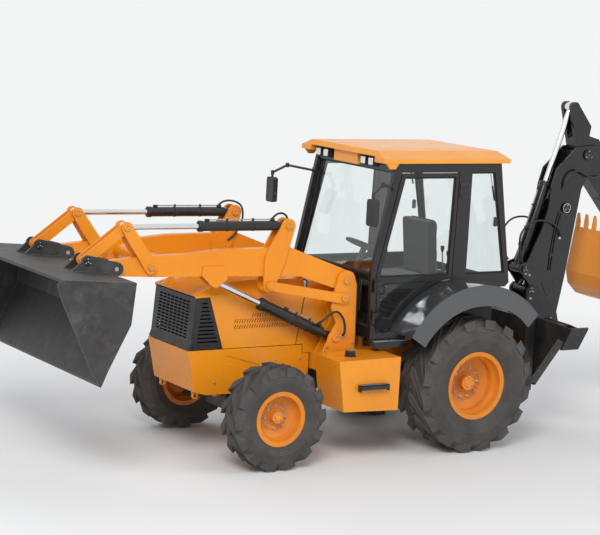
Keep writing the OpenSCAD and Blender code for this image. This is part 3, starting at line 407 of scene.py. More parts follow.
def paint(name, colour, shade, roughness, coat, worn=None, wear=0.0, dusty=0.0, specular=0.5):
    """Sprayed enamel: slow tone drift, orange peel, worn edges and road dust low down."""
    s = Shade(name)
    base = s.blend(s.fit(s.noise(1.7, 5.0), 0.35, 0.7), colour, shade)
    normal, mask = s.edge(PAINT_EDGE)
    if worn:
        chips = s.fit(s.noise(38.0, 6.0, 0.7), 0.62 - 0.25 * wear, 0.70 - 0.25 * wear)
        base = s.blend(s.maths("MULTIPLY", mask, chips), base, worn)
    if dusty:
        patches = s.fit(s.noise(9.0, 7.0, 0.7), 0.35, 0.8, 0.0, dusty)
        film = s.maths("MULTIPLY", s.low_down(1.15, 0.7), patches)
        base = s.blend(film, base, DUST)
    s.colour(base)
    s.rough(s.fit(s.noise(6.0, 5.0, 0.6), 0.3, 0.75, roughness - 0.06, roughness + 0.10))
    s.set(Coat_Weight=coat, Coat_Roughness=0.08, Specular_IOR_Level=specular)
    s.bump(s.noise(420.0, 2.0), 0.05, 0.0005, normal)
    return s.material


def bucket_steel(name):
    """Painted bucket plate, rubbed to steel in streaks along its working direction."""
    s = Shade(name)
    rub = s.fit(s.noise(2.6, 8.0, 0.68, (1.0, 2.4, 1.0)), 0.50, 0.72)
    streak = s.fit(s.noise(16.0, 6.0, 0.7, (0.5, 6.0, 0.5)), 0.45, 0.75)
    normal, mask = s.edge(PLATE_EDGE)
    bare = s.maths("MULTIPLY", rub, streak)
    base = s.blend(s.fit(s.noise(5.0, 6.0), 0.3, 0.7), (0.022, 0.022, 0.024), (0.040, 0.039, 0.038))
    base = s.blend(bare, base, (0.16, 0.145, 0.13))
    soil = s.maths("MULTIPLY", s.low_down(1.6, 0.9), s.fit(s.noise(12.0, 8.0, 0.7), 0.42, 0.75, 0.0, 0.45))
    base = s.blend(soil, base, (0.13, 0.10, 0.075))
    rubbed = s.maths("MULTIPLY", mask, s.fit(s.noise(22.0, 6.0), 0.36, 0.52))
    base = s.blend(rubbed, base, (0.36, 0.355, 0.35))
    s.colour(base)
    s.rough(s.fit(bare, 0.0, 1.0, 0.55, 0.36))
    s.link(s.fit(bare, 0.2, 1.0, 0.0, 0.8), s.shader.inputs["Metallic"])
    s.bump(s.noise(70.0, 6.0, 0.7), 0.25, 0.002, normal)
    return s.material


def rubber(name, hub_x, hub_z, rings):
    """Tyre rubber about one axle: moulded rings on the sidewall, dust that gathers between them."""
    s = Shade(name)
    split = s.node("ShaderNodeSeparateXYZ")
    s.link(s.place, split.inputs[0])
    squares = [s.maths("POWER", s.maths("SUBTRACT", split.outputs[axis], middle), 2.0)
               for axis, middle in (("X", hub_x), ("Z", hub_z))]
    radius = s.maths("SQRT", s.maths("ADD", *squares))
    low, high = rings
    band = s.maths("MULTIPLY", s.fit(radius, low, low + 0.01), s.fit(radius, high, high - 0.01))
    wave = s.maths("SINE", s.maths("MULTIPLY", radius, 2 * math.pi / RING_PITCH))
    ridge = s.maths("MULTIPLY", s.fit(wave, 0.55, 0.95), band)
    dust = s.fit(s.noise(4.0, 8.0, 0.7), 0.32, 0.70)
    normal, mask = s.edge(PLATE_EDGE)
    base = s.blend(dust, (0.036, 0.034, 0.033), (0.098, 0.088, 0.078))
    base = s.blend(s.maths("MULTIPLY", ridge, 0.6), base, (0.030, 0.029, 0.029))
    base = s.blend(s.maths("MULTIPLY", mask, 0.5), base, (0.125, 0.115, 0.105))
    s.colour(base)
    s.rough(s.fit(dust, 0.0, 1.0, 0.62, 0.88))
    grain = s.maths("ADD", s.maths("MULTIPLY", s.noise(160.0, 6.0, 0.7), 0.25), ridge)
    s.bump(grain, 0.55, 0.004, normal)
    return s.material


def chrome(name):
    """Hard-chromed rod, its roughness drifting a little along its length."""
    s = Shade(name)
    s.colour(s.blend(s.fit(s.noise(3.0, 3.0), 0.3, 0.7), (0.80, 0.80, 0.81), (0.72, 0.73, 0.75)))
    s.rough(s.fit(s.noise(14.0, 3.0), 0.3, 0.7, 0.10, 0.17))
    s.set(Metallic=1.0)
    s.bump(s.noise(500.0, 2.0), 0.01, 0.0001)
    return s.material


def metal(name, colour, darker, roughness):
    """Plated or machined small parts."""
    s = Shade(name)
    s.colour(s.blend(s.fit(s.noise(24.0, 5.0), 0.35, 0.7), colour, darker))
    s.rough(s.fit(s.noise(40.0, 4.0), 0.3, 0.7, roughness - 0.05, roughness + 0.10))
    s.set(Metallic=0.9)
    s.bump(s.noise(300.0, 3.0), 0.06, 0.0004)
    return s.material


def plastic(name, colour, lighter, roughness=0.5, grain=700.0):
    """Moulded plastic or rubber trim with a fine leather-like grain."""
    s = Shade(name)
    s.colour(s.blend(s.fit(s.noise(3.0, 4.0), 0.3, 0.7), colour, lighter))
    s.rough(s.fit(s.noise(12.0, 4.0), 0.3, 0.7, roughness - 0.06, roughness + 0.08))
    s.bump(s.noise(grain, 3.0, 0.6), 0.18, 0.0006)
    return s.material


def tread(name):
    """Grey anti-slip strip with raised square studs."""
    s = Shade(name)
    cells = s.node("ShaderNodeTexVoronoi", distance="CHEBYCHEV")
    cells.inputs["Scale"].default_value = 70.0
    cells.inputs["Randomness"].default_value = 0.0
    s.link(s.place, cells.inputs["Vector"])
    stud = s.fit(cells.outputs["Distance"], 0.34, 0.24)
    s.colour(s.blend(stud, (0.14, 0.135, 0.13), (0.30, 0.295, 0.29)))
    s.rough(s.fit(stud, 0.0, 1.0, 0.8, 0.45))
    s.bump(stud, 0.6, 0.002)
    return s.material


def fabric(name, colour, lighter):
    """Seat cloth: crossed weave in two directions with sheen."""
    s = Shade(name)
    warp = s.node("ShaderNodeTexWave", bands_direction="X")
    weft = s.node("ShaderNodeTexWave", bands_direction="Y")
    for wave in (warp, weft):
        wave.inputs["Scale"].default_value = 240.0
        wave.inputs["Distortion"].default_value = 1.2
        s.link(s.place, wave.inputs["Vector"])
    weave = s.maths("MULTIPLY", warp.outputs["Fac"], weft.outputs["Fac"])
    s.colour(s.blend(s.fit(s.noise(9.0, 5.0), 0.3, 0.7), colour, lighter))
    s.rough(s.fit(weave, 0.0, 1.0, 0.95, 0.8))
    s.set(Sheen_Weight=0.4, Sheen_Roughness=0.5)
    s.bump(weave, 0.4, 0.0008)
    return s.material


def glass(name, tint, tint2):
    """Clear pane with a faint film of dust."""
    s = Shade(name)
    film = s.fit(s.noise(2.2, 6.0, 0.7), 0.45, 0.9)
    s.colour(s.blend(film, tint, tint2))
    s.rough(s.fit(film, 0.0, 1.0, 0.0, 0.04))
    s.set(Transmission_Weight=1.0, IOR=1.45)
    return s.material


def lens(name, colour, lighter):
    """Ribbed glass over a bright reflector."""
    s = Shade(name)
    ribs = s.node("ShaderNodeTexWave", bands_direction="Y")
    ribs.inputs["Scale"].default_value = 60.0
    s.link(s.place, ribs.inputs["Vector"])
    s.colour(s.blend(ribs.outputs["Fac"], colour, lighter))
    s.rough(s.fit(ribs.outputs["Fac"], 0.0, 1.0, 0.08, 0.2))
    s.set(Metallic=0.35, Coat_Weight=1.0, Coat_Roughness=0.03)
    s.bump(ribs.outputs["Fac"], 0.35, 0.002)
    return s.material


ORANGE = paint("orange_paint", (0.85, 0.3, 0.01), (0.79, 0.258, 0.008), 0.28, 0.28, WORN_STEEL, 0.1,
               dusty=0.12, specular=0.35)
ROOF_ORANGE = paint("orange_roof_paint", (0.87, 0.345, 0.03), (0.82, 0.305, 0.024), 0.36, 0.3)
ARM_ORANGE = paint("orange_arm_paint", (0.84, 0.288, 0.01), (0.77, 0.24, 0.008), 0.36, 0.2,
                   WORN_STEEL, 0.35, dusty=0.25, specular=0.35)
# Rim paint: both tones are darkened as painted shade for the inside of the deep rims; its dust and worn edges are
# real.
RIM_ORANGE_WITH_PAINTED_SHADE = paint("orange_rim_paint_with_painted_shade", (0.8, 0.255, 0.01), (0.67, 0.195, 0.01), 0.42, 0.1,
                   WORN_STEEL, 0.3, dusty=0.4, specular=0.35)
BLACK_GLOSS = paint("black_gloss_paint", (0.01, 0.01, 0.011), (0.015, 0.015, 0.016), 0.18, 0.35,
                    (0.1, 0.1, 0.1), 0.1, specular=0.35)
# Glossy black mudguard paint: its base colour is lifted to a bluish dark grey as a painted reflection of the sky, over
# the real reflection of its coat.
MUDGUARD_BLACK_WITH_PAINTED_REFLECTION = paint("mudguard_gloss_with_painted_reflection", (0.034, 0.036, 0.04), (0.046, 0.048, 0.052), 0.15, 0.9,
                      (0.12, 0.12, 0.12), 0.1, specular=0.7)
BLACK_SATIN = paint("black_satin_paint", (0.014, 0.014, 0.015), (0.024, 0.024, 0.024), 0.4, 0.08,
                    (0.16, 0.15, 0.14), 0.35, dusty=0.3, specular=0.35)
BUCKET = bucket_steel("bucket_plate")
FRONT_RUBBER = rubber("front_tyre_rubber", at(WHEELBASE, 0).x, FRONT_TYRE_R / 1000, (0.262, 0.385))
REAR_RUBBER = rubber("rear_tyre_rubber", REAR_AXLE_X, REAR_TYRE_R / 1000, (0.345, 0.545))
CHROME = chrome("chromed_rod")
DARK_PLASTIC = plastic("moulded_plastic", (0.018, 0.018, 0.019), (0.03, 0.03, 0.031))
SEAL = plastic("seal_rubber", (0.01, 0.01, 0.011), (0.017, 0.017, 0.018), 0.62, 260.0)
HOSE = plastic("hose_rubber", (0.014, 0.014, 0.015), (0.024, 0.024, 0.024), 0.48, 300.0)
TREAD = tread("step_tread")
CLOTH = fabric("seat_cloth", (0.03, 0.031, 0.034), (0.052, 0.053, 0.057))
GLASS = glass("cab_glass", (0.93, 0.97, 0.96), (0.86, 0.91, 0.9))
LENS = lens("lamp_lens", (0.62, 0.63, 0.64), (0.86, 0.87, 0.88))
MIRROR = lens("mirror_glass", (0.62, 0.66, 0.7), (0.68, 0.71, 0.74))
ZINC = metal("zinc_plate", (0.56, 0.55, 0.52), (0.4, 0.39, 0.36), 0.34)
BRIGHT = metal("bright_trim_and_painted_highlight", (0.74, 0.74, 0.73), (0.6, 0.6, 0.59), 0.26)

NODE_LOOKS = {
    ORANGE: ("nose", "cowl", "hood", "side_boxes"),
    ROOF_ORANGE: ("roof",),
    ARM_ORANGE: ("frame", "loader_arms", "lower_links", "front_levers", "bucket_links", "hoe_bucket"),
    RIM_ORANGE_WITH_PAINTED_SHADE: ("rim_front_left", "rim_front_right", "rim_rear_left", "rim_rear_right"),
    MUDGUARD_BLACK_WITH_PAINTED_REFLECTION: ("fenders",),
    BLACK_GLOSS: ("cab_frame", "door_left", "door_right", "boom", "dipper", "lift_barrels",
                  "tilt_barrels", "boom_barrel", "dipper_barrel", "crowd_barrel"),
    BLACK_SATIN: ("rear_frame", "powertrain", "front_axle", "rear_axle", "knuckle_left", "knuckle_right",
                  "swing_post", "tipping_levers", "tipping_link", "stabiliser_left", "stabiliser_right",
                  "stabiliser_barrel_left", "stabiliser_barrel_right", "grille"),
    BUCKET: ("loader_bucket",),
    FRONT_RUBBER: ("tyre_front_left", "tyre_front_right"),
    REAR_RUBBER: ("tyre_rear_left", "tyre_rear_right"),
    CHROME: ("lift_rods", "tilt_rods", "boom_rod", "dipper_rod", "crowd_rod", "stabiliser_rod_left",
             "stabiliser_rod_right"),
    DARK_PLASTIC: ("cab_floor", "controls", "mirrors", "lamps", "seat"),
    GLASS: ("windows", "door_glass_left", "door_glass_right"),
}


def dress_nodes():
    for look, names in NODE_LOOKS.items():
        for name in names:
            node = frame["nodes"][name]
            node.data.materials.clear()
            node.data.materials.append(look)


# Making pieces

SHARP_ANGLE = math.radians(34)


def mirrored(route, side):
    """Row-frame points of a route given as (x, z, y) on the left, or its mirror image."""
    return [at(x, z, y * side) for x, z, y in route]


def rising(near, far, side):
    """Two widths on one side of the machine, the lower value first."""
    return sorted((near * side, far * side))


def link_object(name, mesh, look, body, slot):
    """Links a finished mesh as a piece, which rides on a body unless it is blended later."""
    made = bpy.data.objects.new(name, mesh)
    bpy.context.scene.collection.objects.link(made)
    mesh.materials.append(look)
    if body:
        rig.ride(made, body)
    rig.slot(made, slot)
    return made


def smooth_path(points, steps):
    """Points along a smooth curve through the given ones, with no overshoot at uneven spacing."""
    last = len(points) - 1
    gaps = [(b - a).length for a, b in zip(points, points[1:])]
    tangents = []
    for i, point in enumerate(points):
        if 0 < i < last:
            before = (point - points[i - 1]) / gaps[i - 1]
            after = (points[i + 1] - point) / gaps[i]
            tangents.append((before * gaps[i] + after * gaps[i - 1]) / (gaps[i - 1] + gaps[i]))
        else:
            tangents.append((points[min(i + 1, last)] - points[max(i - 1, 0)]) / gaps[min(i, last - 1)])
    path = []
    for i in range(last):
        for k in range(steps):
            t = k / steps
            m0, m1 = tangents[i] * gaps[i], tangents[i + 1] * gaps[i]
            path.append((2 * t ** 3 - 3 * t * t + 1) * points[i] + (t ** 3 - 2 * t * t + t) * m0
                        + (3 * t * t - 2 * t ** 3) * points[i + 1] + (t ** 3 - t * t) * m1)
    return path + [points[last]]


def around(count, start=0.0):
    """Cosine and sine of equal steps round a circle, the first one a share of a step on."""
    angles = [2 * math.pi * (i + start) / count for i in range(count)]
    return [(math.cos(a), math.sin(a)) for a in angles]


def with_neighbours(points):
    """Each corner of a closed outline, between the one before it and the one after it."""
    return zip(points[-1:] + points[:-1], points, points[1:] + points[:1])


def mitres(outline):
    """The inward move of each corner of an outline for an inset of 1."""
    points = [Vector(p) for p in outline]
    area = sum(a.x * b.y - a.y * b.x for a, b in zip(points, points[1:] + points[:1]))
    side = 1 if area > 0 else -1
    moves = []
    for before, here, after in with_neighbours(points):
        first, second = (here - before).normalized(), (after - here).normalized()
        a, b = (Vector((-way.y, way.x)) * side for way in (first, second))
        moves.append((a + b) / max(0.25, 1 + a.dot(b)))
    return moves


def rounded(x0, z0, x1, z1, r, n):
    """Outline of a rectangle with corners of radius r, each in n steps."""
    outline = []
    corners = ((x1 - r, z0 + r, -90), (x1 - r, z1 - r, 0), (x0 + r, z1 - r, 90), (x0 + r, z0 + r, 180))
    for cx, cz, start in corners:
        for i in range(n + 1):
            a = math.radians(start + 90 * i / n)
            outline.append((cx + r * math.cos(a), cz + r * math.sin(a)))
    return outline


class Kit:
    """Rigid details of one body in one look, gathered in one mesh. All sizes are in millimetres."""

    def __init__(self, name, body, look, slot):
        self.name, self.body, self.look, self.slot = name, body, look, slot
        self.verts, self.faces = [], []

    def skin(self, rings, closed=False):
        """Skins a row of equal rings of points, with flat ends or joined end to end."""
        first, size, count = len(self.verts), len(rings[0]), len(rings)
        for ring in rings:
            self.verts += ring
        for i in range(count if closed else count - 1):
            here, there = first + i * size, first + (i + 1) % count * size
            for j in range(size):
                k = (j + 1) % size
                self.faces.append((here + j, here + k, there + k, there + j))
        if not closed:
            self.faces.append(tuple(reversed(range(first, first + size))))
            self.faces.append(tuple(range(first + (count - 1) * size, first + count * size)))

    def turned(self, foot, axis, profile, sides, closed=False):
        """A turned form about an axis: its profile points are (radius, distance from the foot)."""
        spin = Vector(axis).to_track_quat("Z", "Y").to_matrix()
        rings = [[foot + spin @ Vector((radius * c, radius * s, along)) / 1000 for c, s in around(sides)]
                 for radius, along in profile]
        self.skin(rings, closed)

    def slab(self, outline, low, high, bevel=2.0, plane="xz"):
        """A plate with bevelled edges, its outline drawn in a plane and thickened along the third axis."""
        place = {"xz": lambda a, b, t: at(a, b, t), "yz": lambda a, b, t: at(t, b, a),
                 "xy": lambda a, b, t: at(a, t, b)}[plane]
        low, high = min(low, high), max(low, high)
        moves = mitres(outline)
        rings = []
        for inset, level in ((bevel, low), (0, low + bevel), (0, high - bevel), (bevel, high)):
            rings.append([place(p[0] + m.x * inset, p[1] + m.y * inset, level)
                          for p, m in zip(outline, moves)])
        self.skin(rings)

    def block(self, centre, ahead, up, size, bevel=3.0):
        """A bevelled block about a point, its length along ahead and its height along up."""
        ahead = Vector(ahead).normalized()
        up = (Vector(up) - ahead * ahead.dot(up)).normalized()
        across = up.cross(ahead)
        length, width, height = (value / 2 for value in size)
        corners = rounded(-length, -width, length, width, bevel, 1)
        moves = mitres(corners)
        rings = []
        for inset, level in ((bevel, -height), (0, bevel - height), (0, height - bevel), (bevel, height)):
            rings.append([centre + (ahead * (p[0] + m.x * inset) + across * (p[1] + m.y * inset)
                                    + up * level) / 1000 for p, m in zip(corners, moves)])
        self.skin(rings)

    def sweep(self, route, radius, sides, steps):
        """A round tube along a smooth route of row-frame points, in steps from each to the next."""
        path = smooth_path(route, steps)
        up = Vector((0.31, 0.52, 0.79))
        rings = []
        for i, point in enumerate(path):
            ahead = (path[min(i + 1, len(path) - 1)] - path[max(i - 1, 0)]).normalized()
            up = (up - ahead * up.dot(ahead)).normalized()
            other = ahead.cross(up)
            rings.append([point + (up * c + other * s) * radius / 1000 for c, s in around(sides)])
        self.skin(rings)

    def bolt(self, foot, axis, across):
        """Hexagon head on its washer."""
        self.turned(foot, axis, [(across * 0.66, 0), (across * 0.66, 2.2), (across * 0.60, 3)], 18)
        corner = across * 0.577
        head = [(corner, 2.6), (corner, 2.6 + across * 0.5), (corner * 0.84, 3 + across * 0.6)]
        self.turned(foot, axis, head, 6)

    def nipple(self, foot, axis):
        """Grease nipple."""
        self.turned(foot, axis, [(5, 0), (5, 3.5), (3, 4.5), (3, 8), (4.2, 9), (4.2, 11), (1.5, 13)], 10)

    def fitting(self, foot, axis, radius):
        """Hexagon that a hose ends in."""
        self.turned(foot, axis, [(radius, 0), (radius, 14), (radius - 3, 16)], 6)

    def finish(self):
        mesh = bpy.data.meshes.new(self.name)
        mesh.from_pydata(self.verts, [], self.faces)
        work = bmesh.new()
        work.from_mesh(mesh)
        bmesh.ops.recalc_face_normals(work, faces=work.faces[:])
        work.to_mesh(mesh)
        work.free()
        mesh.shade_smooth()
        mesh.set_sharp_from_angle(angle=SHARP_ANGLE)
        return link_object(self.name, mesh, self.look, self.body, self.slot)


KIT_LOOKS = {
    "orange": (ARM_ORANGE, "orange_paint"),
    "black": (BLACK_SATIN, "black_paint"),
    "plastic": (DARK_PLASTIC, "black_plastic"),
    "seal": (SEAL, "black_plastic"),
    "hose": (HOSE, "black_plastic"),
    "tread": (TREAD, "black_plastic"),
    "zinc": (ZINC, "cast_iron"),
    "bright": (BRIGHT, "rod_chrome"),
    "lens": (LENS, "clear_glass"),
    "mirror": (MIRROR, "clear_glass"),
}
kits = {}


def kit(body, look):
    if (body, look) not in kits:
        material, slot = KIT_LOOKS[look]
        kits[body, look] = Kit(f"{body}_{look}_details", body, material, slot)
    return kits[body, look]


# Pins, bolts and cylinders

CAP_PROUD = 8.0
CAP_FLOOR = 6.0
BOLTED_CAP_R = 30


def pin_cap(body, look, foot, axis, radius):
    """Keeper cap on a pin's end, with a grease nipple at its middle and bolts in a wide one."""
    profile = [(radius, 0.3), (radius, CAP_PROUD * 0.6), (radius - 3, CAP_PROUD),
               (radius * 0.5, CAP_PROUD), (radius * 0.45, CAP_FLOOR), (6, CAP_FLOOR)]
    kit(body, look).turned(foot, axis, profile, 28)
    zinc = kit(body, "zinc")
    zinc.nipple(foot + Vector(axis) * CAP_FLOOR / 1000, axis)
    if radius > BOLTED_CAP_R:
        spin = Vector(axis).to_track_quat("Z", "Y").to_matrix()
        for i in range(3):
            a = math.radians(90 + 120 * i)
            out = spin @ Vector((math.cos(a), math.sin(a), 0)) * radius * 0.72
            zinc.bolt(foot + (out + Vector(axis) * CAP_PROUD) / 1000, axis, 11.0)


# Pins in side view, as in the part's source
LIFT_BASE, LIFT_EYE = (1360, 1105), (2680, 1690)
TILT_BASE, LEVER_TOP = (1940, 2190), (3615, 2210)
BOOM_RAM_BASE, BOOM_RAM_EYE = (-1300, 1400), (-1700, 2250)
DIPPER_RAM_BASE, HORN_PIN = (-1220, 1620), (-1770, 3290)
DIPPER_PIN, HOE_PIN = (-1950, 2800), (-2900, 1660)


def on_dipper(along, across):
    """Side-view point measured from the hoe bucket's pin, along the dipper and across it."""
    foot = Vector(HOE_PIN)
    run = (Vector(DIPPER_PIN) - foot).normalized()
    return tuple(foot + run * along + Vector((-run.y, run.x)) * across)


ROCKER_PIN, ROCKER_TOP = on_dipper(360, 0), on_dipper(120, 268)
HOE_TOP_PIN, CROWD_BASE = on_dipper(-208, 120), on_dipper(1130, 260)

# Pins across the machine, as (body, look, side-view point, (y, way out) of the left end faces, cap radius)
PINS = (
    ("chassis", "orange", (1270, 1655), ((576, 1), (424, -1)), 33),
    ("chassis", "orange", LIFT_BASE, ((574, 1), (426, -1)), 33),
    ("chassis", "orange", (1300, 1490), ((606, 1),), 33),
    ("loader_arms", "orange", TILT_BASE, ((570, 1), (430, -1)), 33),
    ("loader_arms", "orange", (3360, 1850), ((574, 1), (426, -1)), 33),
    ("loader_arms", "zinc", (3710, 1850), ((580, 1), (420, -1)), 22),
    ("front_levers", "orange", LEVER_TOP, ((568, 1), (432, -1)), 33),
    ("loader_bucket", "black", (4000, 1925), ((596, 1), (404, -1)), 34),
    ("boom", "black", (-1580, 1070), ((154, 1),), 45),
    ("boom", "black", DIPPER_RAM_BASE, ((130, 1),), 34),
    ("boom", "black", DIPPER_PIN, ((134, 1),), 56),
    ("boom", "black", BOOM_RAM_EYE, ((150, 1),), 40),
    ("swing_post", "black", BOOM_RAM_BASE, ((154, 1),), 34),
    ("dipper", "black", HOE_PIN, ((115, 1),), 40),
    ("dipper", "black", ROCKER_PIN, ((111, 1),), 38),
    ("tipping_levers", "black", ROCKER_TOP, ((111, 1),), 36),
    ("hoe_bucket", "orange", HOE_TOP_PIN, ((125, 1),), 28),
)
# Lengthwise pins of the stabilisers, as (x, z, y, cap radius)
STABILISER_PINS = ((-1240, 520, 360, 36), (-1230, 1200, 200, 24))
KINGPIN_TOP, KINGPIN_Y = 626, 680
SWING_PIN_TOP = (-1420, 1044)


def dress_pins():
    for body, look, (x, z), faces, radius in PINS:
        for side in (1, -1):
            for y, out in faces:
                pin_cap(body, look, at(x, z, y * side), (0, out * side, 0), radius)
    for side, name in SIDES:
        for x, z, y, radius in STABILISER_PINS:
            pin_cap("chassis", "black", at(x, z, y * side), (-1, 0, 0), radius)
        pin_cap("knuckle_" + name, "black", at(WHEELBASE, KINGPIN_TOP, KINGPIN_Y * side), (0, 0, 1), 34)
        ring = [(44, -6), (49, -6), (49, 2), (44, 2)]
        kit("boom", "bright").turned(at(*BOOM_RAM_EYE, 150 * side), (0, side, 0), ring, 32, closed=True)
    pin_cap("swing_post", "black", at(*SWING_PIN_TOP), (0, 0, 1), 37)


# Cylinders, as (body, base, tip, y places, start of the barrel's round part, barrel length and radius,
# rod radius, ends of its pipe, direction from the barrel to the pipe)
CYLINDERS = (
    ("lift_barrels", LIFT_BASE, LIFT_EYE, (500, -500), 140, 890, 54, 30, (190, 600), (0, 0, 1)),
    ("tilt_barrels", TILT_BASE, LEVER_TOP, (500, -500), 105, 920, 46, 26, (150, 840), (0, 0, 1)),
    ("boom_barrel", BOOM_RAM_BASE, BOOM_RAM_EYE, (0,), 60, 870, 55, 30, (120, 780), (0, 1, 0)),
    ("dipper_barrel", DIPPER_RAM_BASE, HORN_PIN, (0,), 190, 930, 55, 30, (240, 850), (1, 0, 0.4)),
    ("crowd_barrel", CROWD_BASE, ROCKER_TOP, (0,), 60, 560, 46, 25, (110, 500), (-0.77, 0, 0.64)),
)
CLAMP_PLACES = (0.3, 0.7)


def dress_barrel(black, seal, foot, ahead, full_from, length, r, rod_r):
    """Gland with its wiper at a barrel's mouth, and the weld ring at its base."""
    gland = [(r + 1, length - 34), (r + 6, length - 30), (r + 6, length + 2), (r, length + 7),
             (rod_r + 4, length + 7), (rod_r + 4, length + 0.5), (r + 1, length + 0.5)]
    black.turned(foot, ahead, gland, 36, True)
    wiper = [(rod_r + 2, length + 6.5), (rod_r + 9, length + 6.5), (rod_r + 8, length + 11),
             (rod_r + 2, length + 13)]
    seal.turned(foot, ahead, wiper, 32, True)
    weld = full_from + 16
    bead = [(r - 1, weld), (r + 2.5, weld + 3), (r + 2.5, weld + 9), (r - 1, weld + 12)]
    black.turned(foot, ahead, bead, 32, True)


def dress_pipe(black, zinc, foot, ahead, up, r, start, end):
    """Port blocks and a clamped steel pipe along a barrel."""
    def place(along, off):
        return foot + (ahead * along + up * off) / 1000

    rail = r + 13
    for u in (start, end):
        black.block(place(u, r + 9), ahead, up, (40, 30, 24))
    route = [(start + 4, r + 12), (start + 26, rail), (start + 60, rail), (end - 60, rail),
             (end - 26, rail), (end - 4, r + 12)]
    zinc.sweep([place(u, off) for u, off in route], 6.0, 10, 4)
    for share in CLAMP_PLACES:
        u = start + (end - start) * share
        strap = [(r - 1, u - 9), (r + 2.5, u - 9), (r + 2.5, u + 9), (r - 1, u + 9)]
        black.turned(foot, ahead, strap, 32, True)
        black.block(place(u, rail + 1), ahead, up, (18, 26, 20))
        zinc.bolt(place(u, rail + 11), up, 9.0)


def dress_cylinders():
    for body, base, tip, places, full_from, length, r, rod_r, pipe, towards in CYLINDERS:
        black, zinc, seal = (kit(body, look) for look in ("black", "zinc", "seal"))
        for y in places:
            foot = at(*base, y)
            ahead = (at(*tip, y) - foot).normalized()
            up = (Vector(towards) - ahead * ahead.dot(Vector(towards))).normalized()
            dress_barrel(black, seal, foot, ahead, full_from, length, r, rod_r)
            dress_pipe(black, zinc, foot, ahead, up, r, *pipe)


# Wheels

# Wheel bodies, as (name, axle x, axle z, wheel middle y, stud circle, studs, hub radius, valve radius)
WHEELS = (
    ("wheel_front_", WHEELBASE, FRONT_TYRE_R, 900, 107.8, 8, 55, 176),
    ("wheel_rear_", 0, REAR_TYRE_R, 822, 147.0, 10, 75, 246),
)
DISC_FACE, HUB_FACE = 4, 70
HUB_BOLTS = 6


def dress_wheel(body, side, x, z, y, circle, studs, hub_r, valve_r):
    """Studs and nuts, a bolted hub cap and a tyre valve on a wheel's outer face."""
    axis = (0, side, 0)
    zinc, orange = kit(body, "zinc"), kit(body, "orange")
    for c, s in around(studs):
        foot = at(x + circle * c, z - circle * s, side * (y + DISC_FACE + 0.2))
        zinc.bolt(foot, axis, 26.0)
        zinc.turned(foot, axis, [(7.5, 15), (7.5, 26), (6, 28)], 12)
    face = at(x, z, side * (y + HUB_FACE))
    hub_cap = [(hub_r - 2, 0.2), (hub_r - 2, 5), (hub_r - 6, 8), (hub_r * 0.62, 8),
               (hub_r * 0.55, 15), (hub_r * 0.3, 17), (6, 17)]
    orange.turned(face, axis, hub_cap, 40)
    for c, s in around(HUB_BOLTS, 0.5):
        out = Vector((c, 0, s)) * hub_r * 0.78 / 1000
        zinc.bolt(face + out + Vector(axis) * 0.008, axis, 11.0)
    root = at(x + valve_r * 0.6, z + valve_r * 0.8, side * (y + 22))
    tip = root + Vector((-0.006, side * 0.045, -0.008))
    kit(body, "seal").sweep([root, (root + tip) / 2, tip], 4.5, 8, 2)
    zinc.sweep([tip, tip + Vector((-0.001, side * 0.010, -0.001))], 3.5, 8, 1)


def dress_wheels():
    for name, *sizes in WHEELS:
        for side, suffix in SIDES:
            dress_wheel(name + suffix, side, *sizes)


# Window seals

SEAL_IN, SEAL_OUT, SEAL_HIGH, SEAL_LIFT = 0.015, 0.001, 0.007, 0.0002
# The strip's section, as (inward over the pane, off its face)
SEAL_SECTION = (
    (-SEAL_OUT, SEAL_LIFT), (SEAL_IN, SEAL_LIFT), (SEAL_IN - 0.002, SEAL_HIGH * 0.7),
    (SEAL_IN * 0.6, SEAL_HIGH), (0.002, SEAL_HIGH), (-SEAL_OUT, SEAL_HIGH * 0.7),
)
SMALLEST_PANE = 0.02
SHORTEST_EDGE = 0.0005
PANES = (("windows", "chassis"), ("door_glass_left", "door_left"), ("door_glass_right", "door_right"))


def flat_groups(mesh):
    """The faces of a mesh by the plane they lie in, as (normal, distance) rounded."""
    groups = {}
    for face in mesh.polygons:
        n = face.normal
        spot = mesh.vertices[face.vertices[0]].co
        key = (round(n.x, 2), round(n.y, 2), round(n.z, 2), round(n.dot(spot), 3))
        groups.setdefault(key, []).append(face)
    return groups


def border(faces):
    """Each border vertex of a flat group of faces, with the vertex that follows it."""
    used = {}
    for face in faces:
        for edge in face.edge_keys:
            used[edge] = used.get(edge, 0) + 1
    after = {}
    for face in faces:
        ring = list(face.vertices)
        for a, b in zip(ring, ring[1:] + ring[:1]):
            if used[min(a, b), max(a, b)] == 1:
                after[a] = b
    return after


def boundary_loops(mesh):
    """Outlines of a mesh's large flat faces, each with its outward normal."""
    for key, faces in flat_groups(mesh).items():
        if sum(face.area for face in faces) < SMALLEST_PANE:
            continue
        after = border(faces)
        while after:
            here = next(iter(after))
            loop = []
            while here in after:
                loop.append(mesh.vertices[here].co.copy())
                here = after.pop(here)
            yield loop, Vector(key[:3]).normalized()


def seal_loop(seal, loop, normal):
    """Rubber gasket round one pane: a low rounded strip over its edge."""
    points = [p for i, p in enumerate(loop) if (p - loop[i - 1]).length > SHORTEST_EDGE]
    rings = []
    for before, here, after in with_neighbours(points):
        a, b = (normal.cross(way.normalized()) for way in (here - before, after - here))
        inward = (a + b) / max(0.3, 1 + a.dot(b))
        rings.append([here + inward * u + normal * v for u, v in SEAL_SECTION])
    seal.skin(rings, closed=True)


def dress_panes():
    for name, body in PANES:
        for loop, normal in boundary_loops(frame["nodes"][name].data):
            seal_loop(kit(body, "seal"), loop, normal)


# Cab

PILLAR_FACE = 700.3
LAMP_PLACES = (329.5, 461.5)
SEAM_ROUTE = ((1693, 1041, 391), (1647, 1340, 391), (1601, 1641, 391))
HANDLE_ROUTE = ((941, 1536, 686), (941, 1546, 716), (941, 1580, 722), (941, 1612, 716), (941, 1622, 686))


